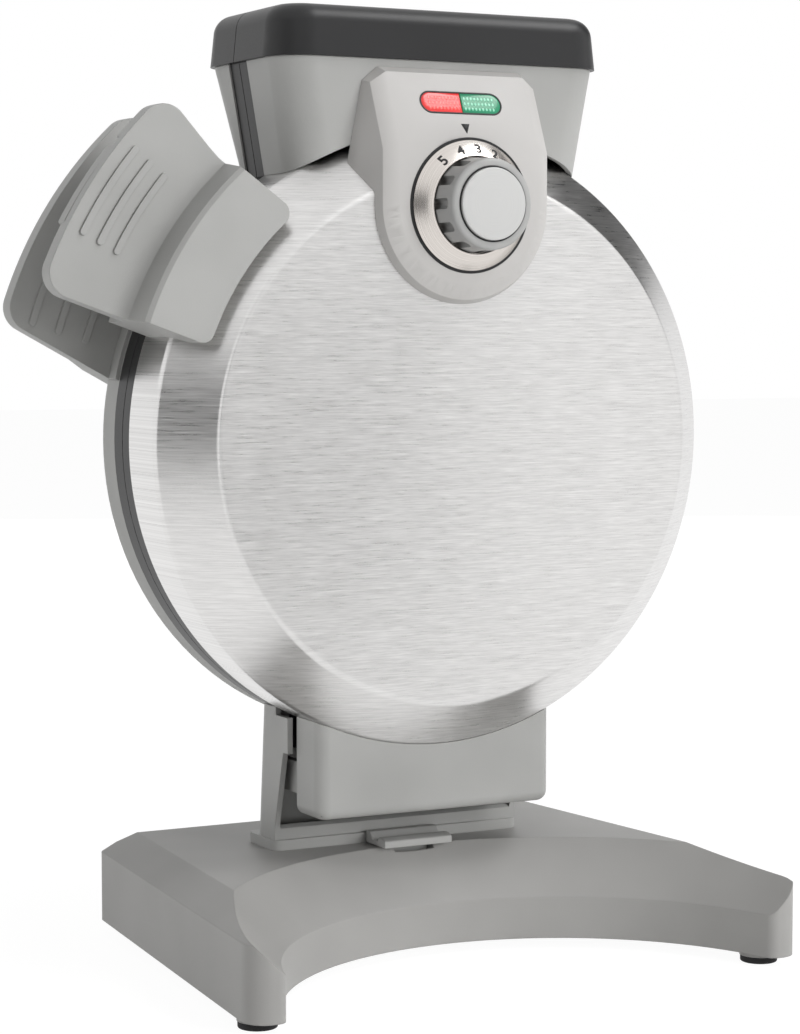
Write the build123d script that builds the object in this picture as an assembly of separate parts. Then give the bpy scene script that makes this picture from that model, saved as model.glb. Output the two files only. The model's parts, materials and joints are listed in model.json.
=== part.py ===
from build123d import *
import os
from math import atan2, cos, pi, radians, sin, sqrt, tan

# Vertical waffle maker. Millimetres, +Z up, the lid opens towards -Y.
# The work is drawn with X = 0 on the middle of the disc, Y = 0 on the parting plane between
# the two cooking halves and Z = 0 on the table. The export moves it to the middle of its box.

# Clearances and walls
running_clearance = 0.05
seat_clearance = 0.1
body_gap = 0.4
parting_gap = 0.2
plastic_wall = 2.5
steel_thickness = 1.0
screw_radius = 1.5
screw_head_radius = 2.8
screw_head_height = 1.6
screw_tip_gap = 2.0

# Cooking disc, one half, measured outwards from the parting plane
disc_centre_height = 194.65
shell_radius = 114.0
shell_face_radius = 96.6
shell_side_depth = 31.2
shell_face_depth = 48.7
shell_softness = 4.0
liner_depth = 7.9
liner_inner_radius = 100.4
liner_back_depth = 17.0
liner_ledge_width = 4.0
rear_side_depth = 19.5
rear_face_depth = 43.0
rear_face_radius = 99.0

# Waffle plates
cavity_radius = 90.0
cavity_depth = 11.0
plate_thickness = 3.5
peg_pitch = 19.0
peg_base = 12.0
peg_tip_gap = 2.5
peg_taper = 8.0
pillar_ring_radius = 82.0
pillar_radius = 4.0
reflector_depth = 25.0
reflector_thickness = 0.8
reflector_radius = 95.0

# Heating element
element_ring_radius = 62.0
element_tube_radius = 3.3
element_opening_angle = 60.0
element_terminal_length = 14.0
clip_width = 8.0
clip_length = 15.0
clip_thickness = 1.2

# Pour spout on top
spout_top_rise = 138.35
spout_foot_drop = 9.8
spout_top_half_width = 67.0
spout_bottom_half_width = 58.4
spout_top_half_depth = 38.5
spout_bottom_half_depth = 36.4
rear_spout_top_half_depth = 31.6
rear_spout_bottom_half_depth = 20.4
spout_corner_radius = 14.0
cap_height = 19.0
cap_overhang = 1.6
cap_taper = 6.0
cap_softness = 7.5
pour_half_width = 52.0
pour_half_depth = 27.0
rear_pour_half_depth = 20.0
pour_corner_radius = 10.0
throat_half_width = 21.0
throat_half_depth = 5.0
throat_rise = 1.5
funnel_wall = 2.2
funnel_lip_drop = 1.0
strip_inset = 0.7

# Hinge between stand and lid
hinge_forward = 10.0
hinge_drop = 126.65
hinge_pin_radius = 3.0
barrel_radius = 9.2
arm_half_width = 43.6
arm_front_depth = 19.0
ear_thickness = 3.0
ear_radius = 6.0
block_half_width = 49.4
block_wall = 1.8
block_back_depth = 12.0
block_front_depth = 31.0
block_below_hinge = 13.0
block_corner_radius = 5.0
lug_inner = 22.0
lug_outer = 40.0
lug_screw_rise = 13.0

# Neck
neck_half_width = 52.2
neck_wall = 2.2
neck_front_high = -10.0
neck_front_step = -6.0
neck_front_low = 1.5
neck_notch_rise = 9.5
neck_shoulder_drop = 103.65
neck_back_low = 22.0
neck_back_high = 17.5
neck_corner_radius = 9.0
flange_thickness = 4.0
apron_rise = 5.4
apron_thickness = 2.5
flange_half_width = 53.0
flange_front = 0.3
flange_back = 25.0
flange_corner_radius = 4.0
tongue_half_width = 43.0
neck_screw_x = 30.0
neck_screw_y = 12.5
neck_screw_seat = 3.7
neck_screw_room = 9.0
neck_top_thickness = 4.0

# Base
base_bottom_height = 4.0
base_side_height = 31.0
base_top_height = 39.1
base_back = 73.2
base_back_half_width = 95.3
base_outer_half_width = 111.6
base_leg_side_end = -98.0
base_front = -107.8
base_bevel_run = 12.5
base_wall = 3.0
base_corner_radius = 6.0
leg_corner_radius = 8.0
leg_tip_radius = 4.0
arch_centre = -132.0
arch_radius = 101.7
arch_lip_height = 20.0
arch_slope_run = 20.0
foot_radius = 6.9
foot_height = 2.5
foot_boss_radius = 7.2
front_foot_x = 103.0
front_foot_y = -93.0
rear_foot_x = 82.0
rear_foot_y = 58.0
post_radius = 4.5
rear_post_x = 62.0
rear_post_y = 52.0
front_post_x = 84.0
front_post_y = -30.0
bottom_plate_thickness = 2.5
gland_height = 16.0
gland_body_radius = 5.0
gland_flange_radius = 7.0
gland_hole_radius = 3.6
gland_flange_thickness = 2.0
terminal_pitch = 8.0
terminal_depth = 16.0
terminal_height = 12.0
terminal_x = 40.0
terminal_y = 45.0
fuse_radius = 7.0
fuse_height = 6.0
hook_half_width = 12.0
hook_spacing = 30.0

# Release tab in front of the neck
tab_half_width = 14.5
tab_front = -16.0
tab_rise = 0.3
tab_bar_height = 3.6
tab_ledge_height = 4.6
tab_ledge_run = 3.0
tab_trough_back = 6.0
tab_trough_front = 9.5
tab_trough_height = 1.9
tab_bar_back = 10.5
tab_nose_run = 2.6
tab_nose_height = 2.7
tab_travel = 4.0
tab_stem_half_width = 8.0
tab_stem_thickness = 4.0
tab_tongue_length = 2.4
tab_spring_radius = 3.0
spring_wire = 0.5
tab_spring_length = 12.0
tab_spring_turns = 9

# Front and rear grips on the left
grip_start_angle = 131.5
grip_end_angle = 160.5
mount_inner_radius = 105.0
mount_outer_radius = 129.0
mount_front_depth = 47.0
grip_outer_radius = 165.0
grip_front_depth = 33.0
grip_thickness = 7.5
grip_wall = 2.6
grip_step_radius = 135.0
grip_corner_radius = 9.0
mount_corner_radius = 4.5
mount_start_angle = 128.6
mount_back_depth = 12.0
mount_chamfer = 1.5
step_foot = 2.5
step_lip = 0.8
step_run = 5.0
rib_radii = (145.0, 152.0, 159.0)
rib_start_angle = 139.5
rib_end_angle = 152.0
rib_width = 2.6
rib_height = 0.9
rear_grip_start_angle = 129.6
rear_grip_end_angle = 170.1
rear_grip_tip_angle = 163.7
rear_grip_outer_radius = 158.2
rear_grip_front = 15.5
rear_grip_back = 23.0
rear_rib_radii = (126.7, 137.7, 148.1)
rear_rib_start_angle = 142.0
rear_rib_end_angle = 163.0
rear_collar_radius = 114.6
rear_root_inner_radius = 105.0
rear_root_outer_radius = 124.5
rear_root_end_angle = 156.8
rear_root_near = 8.7
rear_root_far = 28.0
rear_web_run = 4.0

# Latch trigger behind the front grip
trigger_start_angle = 139.5
trigger_end_angle = 151.5
trigger_outer_radius = 163.6
trigger_near = 18.0
trigger_far = 21.5
trigger_bar_width = 2.4
trigger_bar_rise = 1.0
trigger_bar_drop = 1.4
trigger_corner_radius = 3.0
trigger_overlap = 5.0
trigger_gap_angle = 0.4
trigger_notch_depth = 2.5
trigger_swing_room = 5.7
latch_pivot_radius = 124.0
latch_pivot_depth = 23.0
latch_pin_radius = 1.6
latch_boss_radius = 4.0
hook_arm_inner = 118.0
hook_arm_outer = 121.0
hook_arm_half_angle = 2.8
hook_nose_radius = 116.6
hook_nose_near = -5.6
hook_nose_far = -3.4
strike_outer_radius = 116.2
strike_near = 0.8
strike_side_angle = 0.2
pocket_half_angle = 4.2
pocket_outer_radius = 125.5
latch_spring_turns = 4
latch_spring_arm = 7.5
front_grip_screw_depth = 24.0
rear_grip_screw_depth = 12.0
grip_screw_angle = 9.5
grip_screw_length = 9.0

# Control pod on the front face
dial_rise = 85.45
pod_half_width = 34.0
pod_face_depth = 55.2
pod_crease_rise = 20.4
pod_shoulder_rise = 38.2
pod_top_rise = 44.2
pod_top_half_width = 27.0
pod_lean_angle = 23.0
pod_flare_angle = 23.0
pod_border_width = 5.6
pod_border_drop = 3.0
pod_screw_x = 19.0
pod_screw_drop = 15.0
pod_boss_radius = 3.6
pod_wall = 2.5
window_rise = 37.2
window_half_length = 16.3
window_height_across = 7.7
window_frame_width = 0.6
lens_depth = 2.4
lens_proud = 0.3
board_depth = 1.6
board_lamp_height = 1.6

# Dial, knob and thermostat
dial_outer_radius = 23.7
dial_inner_radius = 17.4
dial_near = 55.7
dial_far = 60.7
knob_front_depth = 71.8
knob_front_radius = 16.3
knob_softness = 1.4
flute_count = 12
flute_radius = 1.9
flute_ring_radius = 16.8
flute_end_depth = 68.6
cap_ring_radius = 13.5
cap_face_radius = 13.0
cap_face_depth = 73.0
cap_seat_depth = 70.0
plate_of_dial = 0.5
shaft_radius = 3.0
thermostat_radius = 12.0
thermostat_near = 30.0
thermostat_far = 42.5
thermostat_floor = 3.0
thermostat_shoulder = 2.0
nut_wall = 2.5
bushing_radius = 5.0
bushing_far = 51.0

# Derived places
disc_up = disc_centre_height
liner_radius = shell_radius - 0.8 * steel_thickness
dial_up = dial_rise
crease_up = dial_up + pod_crease_rise
shoulder_up = dial_up + pod_shoulder_rise
pod_top_up = dial_up + pod_top_rise
window_up = dial_up + window_rise
spout_top_height = disc_up + spout_top_rise
spout_bottom_height = disc_up + sqrt(shell_radius**2 - spout_bottom_half_width**2) - spout_foot_drop
cap_top_height = spout_top_height + cap_height
throat_height = disc_up + sqrt(liner_radius**2 - (throat_half_width + funnel_wall) ** 2) + throat_rise
hinge_height = disc_up - hinge_drop
block_bottom_height = hinge_height - block_below_hinge
lug_screw_height = hinge_height + lug_screw_rise
neck_notch_height = hinge_height + neck_notch_rise
neck_shoulder_height = disc_up - neck_shoulder_drop
neck_foot_height = base_top_height + flange_thickness
apron_height = neck_foot_height + apron_rise
rear_shell_radius = liner_radius
plate_back_depth = cavity_depth + plate_thickness
plate_radius = liner_inner_radius - 2 * seat_clearance
grip_middle_angle = (trigger_start_angle + trigger_end_angle) / 2
ear_inner = arm_half_width + body_gap
ear_outer = ear_inner + ear_thickness
neck_inner_half_width = neck_half_width - neck_wall
bottom_plate_top = base_bottom_height + bottom_plate_thickness

front_frame = Location(Plane(origin=(0, 0, disc_up), x_dir=(1, 0, 0), z_dir=(0, -1, 0)))


def front(shape):
    """Place a shape drawn in a half's own frame (x, up, depth) on the lid side."""
    return front_frame * shape


def rear(shape):
    """Place the mirrored shape on the stand side."""
    return mirror(front_frame * shape, about=Plane.XZ)


def disc(radius, near, far):
    """Cylinder about the disc axis between two depths."""
    return Pos(0, 0, (near + far) / 2) * Cylinder(radius, far - near)


def ring(inner_radius, outer_radius, near, far):
    """Ring about the disc axis between two depths."""
    return disc(outer_radius, near, far) - disc(inner_radius, near - 1, far + 1)


def turned(points, arc=360.0):
    """Turn a closed outline of (radius, depth) points about the disc axis."""
    return revolve(Plane.XZ * make_face(Polyline(*points, close=True)), Axis.Z, arc)


def block(x_range, y_range, z_range):
    """Box between two values on each axis."""
    size = [high - low for low, high in (x_range, y_range, z_range)]
    middle = [(high + low) / 2 for low, high in (x_range, y_range, z_range)]
    return Pos(*middle) * Box(*size)


def side_extrusion(points, x_low, x_high):
    """Push an outline of (y, z) points along X."""
    outline = Plane.YZ * make_face(Polyline(*points, close=True))
    return Pos(x_low, 0, 0) * extrude(outline, x_high - x_low, dir=(1, 0, 0))


def x_cylinder(radius, x_low, x_high, y, z):
    """Cylinder along X."""
    return Pos((x_low + x_high) / 2, y, z) * Rot(0, 90, 0) * Cylinder(radius, x_high - x_low)


def both_sides(shape):
    """A shape and its mirror image across X = 0."""
    return shape + mirror(shape, about=Plane.YZ)


def screw(length):
    """Pan head screw along +Z: the head sits below Z = 0 and the shank rises from it."""
    shank = Pos(0, 0, length / 2) * Cylinder(screw_radius, length)
    head = Pos(0, 0, -screw_head_height / 2) * Cylinder(screw_head_radius, screw_head_height)
    head = fillet(head.edges().sort_by(Axis.Z)[0], screw_head_height / 2)
    return shank + head


def at_ring(shape, radius, angle):
    """Move a shape from the disc axis out to a radius and angle."""
    return Pos(radius * cos(radians(angle)), radius * sin(radians(angle)), 0) * Rot(0, 0, angle) * shape


def coil(radius, wire_radius, length, turns):
    """Helical spring along +Z from Z = 0."""
    path = Helix(pitch=length / turns, height=length, radius=radius)
    start = Plane(origin=path @ 0, z_dir=path % 0)
    return sweep(start * Circle(wire_radius), path=path, is_frenet=True)


# Disc halves


def bevelled_disc(rim_radius, face_radius, near, side, face, offset):
    """Solid disc half with a straight side, a bevel, a flat face and soft corners, grown by an offset."""
    slope = atan2(rim_radius - face_radius, face - side)
    rim_radius += offset
    side += offset * tan(slope / 2)
    face_radius += offset * tan((pi / 2 - slope) / 2)
    face += offset
    corners = [(0, near), (rim_radius, near), (rim_radius, side), (face_radius, face), (0, face)]
    outline = make_face(Polyline(*corners, close=True))
    bends = outline.vertices().filter_by(lambda v: v.X > 1 and v.Y > near + 1)
    return revolve(Plane.XZ * fillet(bends, shell_softness + offset), Axis.Z)


def steel_form(offset, near):
    """Outer form of the lid's steel dish, grown or shrunk by an offset."""
    return bevelled_disc(shell_radius, shell_face_radius, near, shell_side_depth, shell_face_depth, offset)


def rear_form(offset, near):
    """Outer form of the stand's moulded housing, grown or shrunk by an offset."""
    return bevelled_disc(rear_shell_radius, rear_face_radius, near, rear_side_depth, rear_face_depth, offset)


def throat_cut():
    """Slot at the top of each half where the batter runs into the cavity."""
    return block(
        (-throat_half_width, throat_half_width),
        (cavity_radius - peg_base, shell_radius),
        (-throat_half_depth, throat_half_depth),
    )


def shell_screw_places():
    """Angles of the screws that hold each cooking plate stack."""
    return (45.0, 135.0, 225.0, 315.0)


def make_front_shell():
    """Brushed steel dish with a hole for the thermostat bushing."""
    dish = steel_form(0, liner_depth) - steel_form(-steel_thickness, liner_depth - 1)
    bushing_hole = Pos(0, dial_up, 0) * disc(bushing_radius + 1, reflector_depth, pod_face_depth)
    for side in (-1, 1):
        dish -= Pos(side * pod_screw_x, dial_up - pod_screw_drop, 0) * disc(
            screw_radius + seat_clearance, reflector_depth, pod_face_depth
        )
    return front(dish - bushing_hole) - grip_screw_holes(front, front_grip_screw_depth)


def make_rear_shell():
    """Moulded rear housing with screw holes into the neck."""
    tub = rear_form(0, liner_depth) - rear_form(-plastic_wall, liner_depth - 1)
    placed = rear(tub)
    within = rear(rear_form(-plastic_wall / 2, liner_depth))
    for side in (-1, 1):
        spot = Pos(side * neck_screw_x, neck_screw_y, neck_top_height(neck_screw_x)) * Cylinder(
            screw_head_radius + 1, 2 * neck_screw_seat
        )
        placed += spot & within
        placed -= Pos(side * neck_screw_x, neck_screw_y, neck_top_height(neck_screw_x)) * Cylinder(
            screw_radius + seat_clearance, 6 * plastic_wall
        )
    return placed - grip_screw_holes(rear, rear_grip_screw_depth)


def liner_ring():
    """Ring that edges each half, with a collar inside the shell and a ledge for the plate."""
    collar_radius = shell_radius - steel_thickness - seat_clearance
    body = ring(liner_inner_radius, liner_radius, parting_gap, liner_depth)
    collar = ring(liner_inner_radius, collar_radius, liner_depth, liner_back_depth)
    ledge = ring(
        liner_inner_radius - liner_ledge_width, liner_inner_radius + 1, plate_back_depth, liner_back_depth
    )
    return body + collar + ledge - throat_cut()


def make_front_liner():
    """Lid liner with two lugs that the hinge arm is screwed to."""
    lug = block(
        (lug_inner, lug_outer),
        (barrel_top_up(), -sqrt(liner_inner_radius**2 - lug_inner**2) - liner_ledge_width),
        (parting_gap, liner_depth),
    )
    lug_middle = (lug_inner + lug_outer) / 2
    hole = Pos(lug_middle, lug_screw_height - disc_up, 0) * disc(screw_radius, 2, liner_depth + 1)
    return front(liner_ring() + both_sides(lug - hole))


def barrel_top_up():
    """Height of the hinge barrel's top, with room to spare, seen from the disc centre."""
    return hinge_height + barrel_radius + body_gap - disc_up


def make_rear_liner():
    """Stand liner with a tongue that closes the front of the neck."""
    collar_radius = rear_shell_radius - plastic_wall - seat_clearance
    body = ring(liner_inner_radius, liner_radius, parting_gap, liner_depth)
    collar = ring(liner_inner_radius, collar_radius, liner_depth, liner_back_depth)
    ledge = ring(
        liner_inner_radius - liner_ledge_width, liner_inner_radius + 1, plate_back_depth, liner_back_depth
    )
    tongue = block(
        (-tongue_half_width, tongue_half_width),
        (neck_notch_height - disc_up, -liner_inner_radius),
        (parting_gap, liner_depth - seat_clearance),
    ) - disc(liner_radius - 1, -1, liner_depth + 1)
    liner = rear(body + collar + ledge + tongue - throat_cut())
    for side in (-1, 1):
        room = Cylinder(screw_head_radius + 1 + seat_clearance, neck_screw_room)
        middle = neck_top_height(neck_screw_x) + neck_screw_room / 2
        liner -= Pos(side * neck_screw_x, neck_screw_y, middle) * room
    half = screw_head_radius + body_gap
    head_room = block(
        (-screw_head_height - body_gap, plastic_wall),
        (-half, half),
        (rear_grip_screw_depth - half, liner_back_depth + 1),
    )
    for side in (-1, 1):
        liner -= rear(at_ring(head_room, collar_radius, grip_middle_angle + side * grip_screw_angle))
    return liner


def peg_places():
    """Grid positions inside the cavity."""
    reach = int(cavity_radius / peg_pitch)
    places = []
    for column in range(-reach, reach + 1):
        for row in range(-reach, reach + 1):
            if sqrt(column**2 + row**2) * peg_pitch < cavity_radius - 0.75 * peg_base:
                places.append((column * peg_pitch, row * peg_pitch))
    return places


def waffle_plate():
    """Cast plate: rim, cavity with tapered pegs, and pillars on the back."""
    rim_depth = 2 * parting_gap
    dish = disc(plate_radius, rim_depth, plate_back_depth)
    dish -= Pos(0, 0, rim_depth) * extrude(Circle(cavity_radius), cavity_depth - rim_depth, taper=peg_taper)
    pegs = Sketch() + [Pos(x, y) * Rectangle(peg_base, peg_base) for x, y in peg_places()]
    dish += Pos(0, 0, cavity_depth) * extrude(
        pegs, -(cavity_depth - peg_tip_gap), taper=peg_taper
    )
    for angle in shell_screw_places():
        pillar = disc(pillar_radius, plate_back_depth, reflector_depth)
        pillar -= disc(screw_radius, plate_back_depth + 1, reflector_depth + 1)
        dish += at_ring(pillar, pillar_ring_radius, angle)
    return dish - throat_cut()


def heating_element():
    """Tubular heater bent round the back of the plate, with two straight terminals."""
    depth = plate_back_depth + element_tube_radius
    sweep_angle = 360 - element_opening_angle
    start_angle = -90 + element_opening_angle / 2
    section = Pos(element_ring_radius, 0, depth) * Rot(90, 0, 0) * Circle(element_tube_radius)
    tube = Rot(0, 0, start_angle) * revolve(section, Axis.Z, sweep_angle)
    for angle in (start_angle, start_angle + sweep_angle):
        end = Sphere(element_tube_radius) + Pos(0, 0, element_terminal_length / 2) * Cylinder(
            element_tube_radius / 2, element_terminal_length
        )
        tube += Pos(0, 0, depth) * at_ring(end, element_ring_radius, angle)
    return tube


def element_clips():
    """Straps that hold the heater against the plate."""
    strap_near = plate_back_depth + 2 * element_tube_radius
    reach = clip_length / 2
    across = (-clip_width / 2, clip_width / 2)
    strap = block((-reach, reach), across, (strap_near, strap_near + clip_thickness))
    for side in (-1, 1):
        foot = block((reach - clip_thickness, reach), across, (plate_back_depth, strap_near))
        strap += foot if side > 0 else mirror(foot, about=Plane.YZ)
    return Compound(children=[at_ring(strap, element_ring_radius, angle) for angle in (0.0, 90.0, 180.0)])


def reflector():
    """Pressed dish behind the heater, with holes for its screws and the heater's terminals."""
    plate = disc(reflector_radius, reflector_depth, reflector_depth + reflector_thickness)
    for angle in shell_screw_places():
        plate -= at_ring(disc(screw_radius + seat_clearance, 0, rear_face_depth), pillar_ring_radius, angle)
    start_angle = -90 + element_opening_angle / 2
    for angle in (start_angle, -180 - start_angle):
        plate -= at_ring(disc(element_tube_radius, 0, rear_face_depth), element_ring_radius, angle)
    return plate


def reflector_screws():
    """Screws through the reflector into the plate's pillars."""
    seat = reflector_depth + reflector_thickness
    one = Pos(0, 0, seat) * Rot(180, 0, 0) * screw(seat - plate_back_depth - screw_tip_gap)
    return Compound(children=[at_ring(one, pillar_ring_radius, angle) for angle in shell_screw_places()])


# Pour spout


def rounded_loft(bottom, top):
    """Loft between two rounded rectangles, each (height, half width, half depth, corner radius)."""
    sections = []
    for height, half_width, half_depth, corner in (bottom, top):
        sections.append(Pos(0, 0, height) * RectangleRounded(2 * half_width, 2 * half_depth, corner))
    return loft(sections)


def spout_form(inset, bottom_half_depth, top_half_depth):
    """Tapering body of the spout, shrunk by an inset."""
    corner = spout_corner_radius - inset
    return rounded_loft(
        (spout_bottom_height, spout_bottom_half_width - inset, bottom_half_depth - inset, corner),
        (spout_top_height, spout_top_half_width - inset, top_half_depth - inset, corner),
    )


def lid_spout_form(inset):
    """The spout's body as deep as its lid half."""
    return spout_form(inset, spout_bottom_half_depth, spout_top_half_depth)


def stand_spout_form(inset):
    """The spout's body as deep as its stand half, which tapers more."""
    return spout_form(inset, rear_spout_bottom_half_depth, rear_spout_top_half_depth)


def pour_form(outset, half_depth):
    """Space that the batter is poured through, grown by an outset for the funnel's wall."""
    return rounded_loft(
        (
            throat_height,
            throat_half_width + outset,
            throat_half_depth + outset,
            throat_half_depth / 2 + outset,
        ),
        (
            cap_top_height + outset,
            pour_half_width + outset,
            half_depth + outset,
            pour_corner_radius + outset,
        ),
    )


def depth_slab(near, far):
    """Lid side slice of space between two depths, over the whole object."""
    reach = 2 * spout_top_height
    return block((-reach, reach), (-far, -near), (-reach, reach))


def make_spout_housing(body_form, disc_volume):
    """One half of the grey spout body, drawn on the lid side and cut to sit on the disc."""
    shell = body_form(0) - body_form(plastic_wall)
    return shell & depth_slab(liner_depth, 2 * spout_top_half_depth) - disc_volume


def make_spout_funnel(body_form, half_depth):
    """Half of the charcoal funnel with the strip that edges the spout, drawn on the lid side."""
    strip = body_form(strip_inset) & depth_slab(parting_gap, liner_depth)
    walls = pour_form(funnel_wall, half_depth) & depth_slab(parting_gap, 2 * spout_top_half_depth)
    walls &= block(
        (-spout_top_half_width, spout_top_half_width),
        (-spout_top_half_depth, 0),
        (throat_height, cap_top_height - funnel_lip_drop),
    )
    solid = strip + walls
    solid -= pour_form(0, half_depth)
    solid -= block(
        (-throat_half_width, throat_half_width),
        (-throat_half_depth, throat_half_depth),
        (spout_bottom_height, throat_height + 0.1),
    )
    solid -= front(disc(liner_radius + seat_clearance / 2, -1, rear_face_depth))
    return solid - front(steel_form(seat_clearance / 2, liner_depth - 1))


def make_spout_cap(top_half_depth, half_depth):
    """One half of the rounded charcoal cap round the mouth, drawn on the lid side."""
    outline = RectangleRounded(
        2 * (spout_top_half_width + cap_overhang),
        2 * (top_half_depth + cap_overhang),
        spout_corner_radius + cap_overhang,
    )
    cap = Pos(0, 0, spout_top_height) * extrude(outline, cap_height, taper=cap_taper)
    cap = fillet(cap.faces().sort_by(Axis.Z)[-1].edges(), cap_softness)
    inner = offset(outline, -plastic_wall - cap_overhang)
    pocket = Pos(0, 0, spout_top_height) * extrude(inner, cap_height - plastic_wall, taper=cap_taper)
    cap -= pocket
    cap -= pour_form(funnel_wall + seat_clearance / 2, half_depth)
    return cap & depth_slab(parting_gap, 2 * spout_top_half_depth)


# Hinge and neck


def neck_top_height(x):
    """Height of the rear housing's underside at a distance from the middle."""
    return disc_up - sqrt(rear_shell_radius**2 - x**2)


def make_hinge_pin():
    """Steel pin through both ears of the neck."""
    return x_cylinder(hinge_pin_radius, -ear_outer, ear_outer, -hinge_forward, hinge_height)


def make_hinge_arm():
    """Charcoal casting: barrel round the pin and a web up to the steel dish."""
    barrel = x_cylinder(barrel_radius, -arm_half_width, arm_half_width, -hinge_forward, hinge_height)
    web = block(
        (-arm_half_width, arm_half_width),
        (-arm_front_depth, -liner_depth),
        (hinge_height, disc_up - liner_inner_radius),
    )
    arm = barrel + web - front(steel_form(seat_clearance / 2, liner_depth - 1))
    bore_reach = 2 * arm_half_width
    bore_radius = hinge_pin_radius + running_clearance
    arm -= x_cylinder(bore_radius, -bore_reach, bore_reach, -hinge_forward, hinge_height)
    lug_middle = (lug_inner + lug_outer) / 2
    hole = Pos(lug_middle, -arm_front_depth, lug_screw_height) * Rot(90, 0, 0) * Cylinder(
        screw_radius + seat_clearance, 3 * arm_front_depth
    )
    return arm - both_sides(hole)


def make_arm_screws():
    """Two screws through the arm into the liner's lugs."""
    lug_middle = (lug_inner + lug_outer) / 2
    fastener = screw(arm_front_depth - 1.5 * screw_tip_gap)
    one = Pos(lug_middle, -arm_front_depth, lug_screw_height) * Rot(-90, 0, 0) * fastener
    return Compound(children=[one, mirror(one, about=Plane.YZ)])


def make_hinge_block():
    """Grey cover over the hinge arm, open at the back, notched for the ears."""
    outer = block(
        (-block_half_width, block_half_width),
        (-block_front_depth, -block_back_depth),
        (block_bottom_height, disc_up - liner_inner_radius),
    )
    front_uprights = outer.edges().filter_by(Axis.Z).group_by(Axis.Y)[0]
    outer = fillet(front_uprights, block_corner_radius)
    bottom_front = outer.faces().sort_by(Axis.Z)[0].edges().filter_by(
        lambda e: e.center().Y < -block_back_depth - block_corner_radius / 3
    )
    outer = fillet(bottom_front, block_corner_radius - 1)
    inner = block(
        (-block_half_width + block_wall, block_half_width - block_wall),
        (-block_front_depth + block_wall, 0),
        (block_bottom_height + block_wall, disc_up),
    )
    cover = outer - inner - front(steel_form(seat_clearance, liner_depth - 1))
    notch = block(
        (ear_inner - body_gap, ear_outer + body_gap),
        (-hinge_forward - ear_radius - body_gap, 0),
        (block_bottom_height - 1, block_bottom_height + 2 * block_wall),
    )
    return cover - both_sides(notch)


def upright_back_edges(body):
    """The two long edges that run up the back of the neck's form."""
    backs = body.faces().sort_by(Axis.Y)[-1].edges()
    return backs.filter_by(lambda e: abs(e.tangent_at(0.5).X) < 0.5)


def block_swing_room():
    """Room that the hinge block's lower corner sweeps in front of the neck's foot."""
    corner = block_corner_radius - 1
    reach = sqrt((block_front_depth - hinge_forward - corner) ** 2 + (block_below_hinge - corner) ** 2)
    half = block_half_width + body_gap
    swept = x_cylinder(reach + corner + body_gap, -half, half, -hinge_forward, hinge_height)
    low = block((-half, half), (-block_front_depth, neck_back_low), (neck_foot_height, apron_height + 1))
    return swept & low


def make_neck():
    """Neck: two cheeks, back wall, foot flange, apron and the ears that hold the pin."""
    outline = [
        (neck_front_high, neck_shoulder_height),
        (neck_front_high, neck_notch_height),
        (neck_front_step, neck_notch_height),
        (neck_front_low, apron_height),
        (neck_front_low, neck_foot_height),
        (neck_back_low, neck_foot_height),
        (neck_back_high, disc_up - liner_inner_radius),
        (parting_gap + seat_clearance, disc_up - liner_inner_radius),
        (parting_gap + seat_clearance, neck_shoulder_height),
    ]
    outer = side_extrusion(outline, -neck_half_width, neck_half_width)
    outer = fillet(upright_back_edges(outer), neck_corner_radius)
    hollow = [
        (neck_front_high - 1, apron_height),
        (neck_front_low + apron_thickness, apron_height),
        (neck_front_low + apron_thickness, neck_foot_height + neck_wall),
        (neck_back_low - neck_wall, neck_foot_height + neck_wall),
        (neck_back_high - neck_wall, disc_up - liner_inner_radius),
        (neck_front_high - 1, disc_up - liner_inner_radius),
    ]
    inner = side_extrusion(hollow, -neck_inner_half_width, neck_inner_half_width)
    inner = fillet(upright_back_edges(inner), neck_corner_radius - neck_wall)
    roof = block(
        (-neck_half_width, neck_half_width),
        (liner_depth + seat_clearance, 2 * neck_back_low),
        (neck_notch_height - 2 * neck_top_thickness, disc_up - liner_inner_radius),
    ) & rear(disc(rear_shell_radius + neck_top_thickness, -neck_back_low, rear_face_depth))
    inner -= roof
    neck = outer - inner
    flange = Pos(0, (flange_front + flange_back) / 2, base_top_height) * extrude(
        RectangleRounded(2 * flange_half_width, flange_back - flange_front, flange_corner_radius),
        neck_foot_height - base_top_height,
    )
    neck += flange
    ear_back = neck_back_high
    ear = side_extrusion(
        [
            (-hinge_forward, hinge_height - ear_radius),
            (ear_back, hinge_height - ear_radius),
            (ear_back, hinge_height + ear_radius),
            (-hinge_forward, hinge_height + ear_radius),
        ],
        ear_inner,
        ear_outer,
    )
    ear += x_cylinder(ear_radius, ear_inner, ear_outer, -hinge_forward, hinge_height)
    neck += both_sides(ear)
    hook = block(
        (hook_spacing - hook_half_width, hook_spacing + hook_half_width),
        (flange_back - 3 * plastic_wall, flange_back - 2 * plastic_wall),
        (base_top_height - base_wall - 2 * plastic_wall, base_top_height),
    )
    hook += block(
        (hook_spacing - hook_half_width, hook_spacing + hook_half_width),
        (flange_back - 3 * plastic_wall, flange_back),
        (base_top_height - base_wall - 2 * plastic_wall, base_top_height - base_wall - plastic_wall),
    )
    neck += both_sides(hook)
    neck -= x_cylinder(hinge_pin_radius, -ear_outer - 1, ear_outer + 1, -hinge_forward, hinge_height)
    neck -= rear(disc(rear_shell_radius + seat_clearance / 2, 0, rear_face_depth))
    neck -= block_swing_room()
    for side in (-1, 1):
        neck -= Pos(side * neck_screw_x, neck_screw_y, neck_top_height(neck_screw_x)) * Cylinder(
            screw_radius, 3 * neck_top_thickness
        )
    slot = block(
        (-tab_stem_half_width - body_gap, tab_stem_half_width + body_gap),
        (flange_front - 1, flange_front + tab_tongue_length + 2 * body_gap),
        (base_top_height + plastic_wall / 2, base_top_height + plastic_wall + 2 * body_gap),
    )
    return neck - slot


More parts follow.
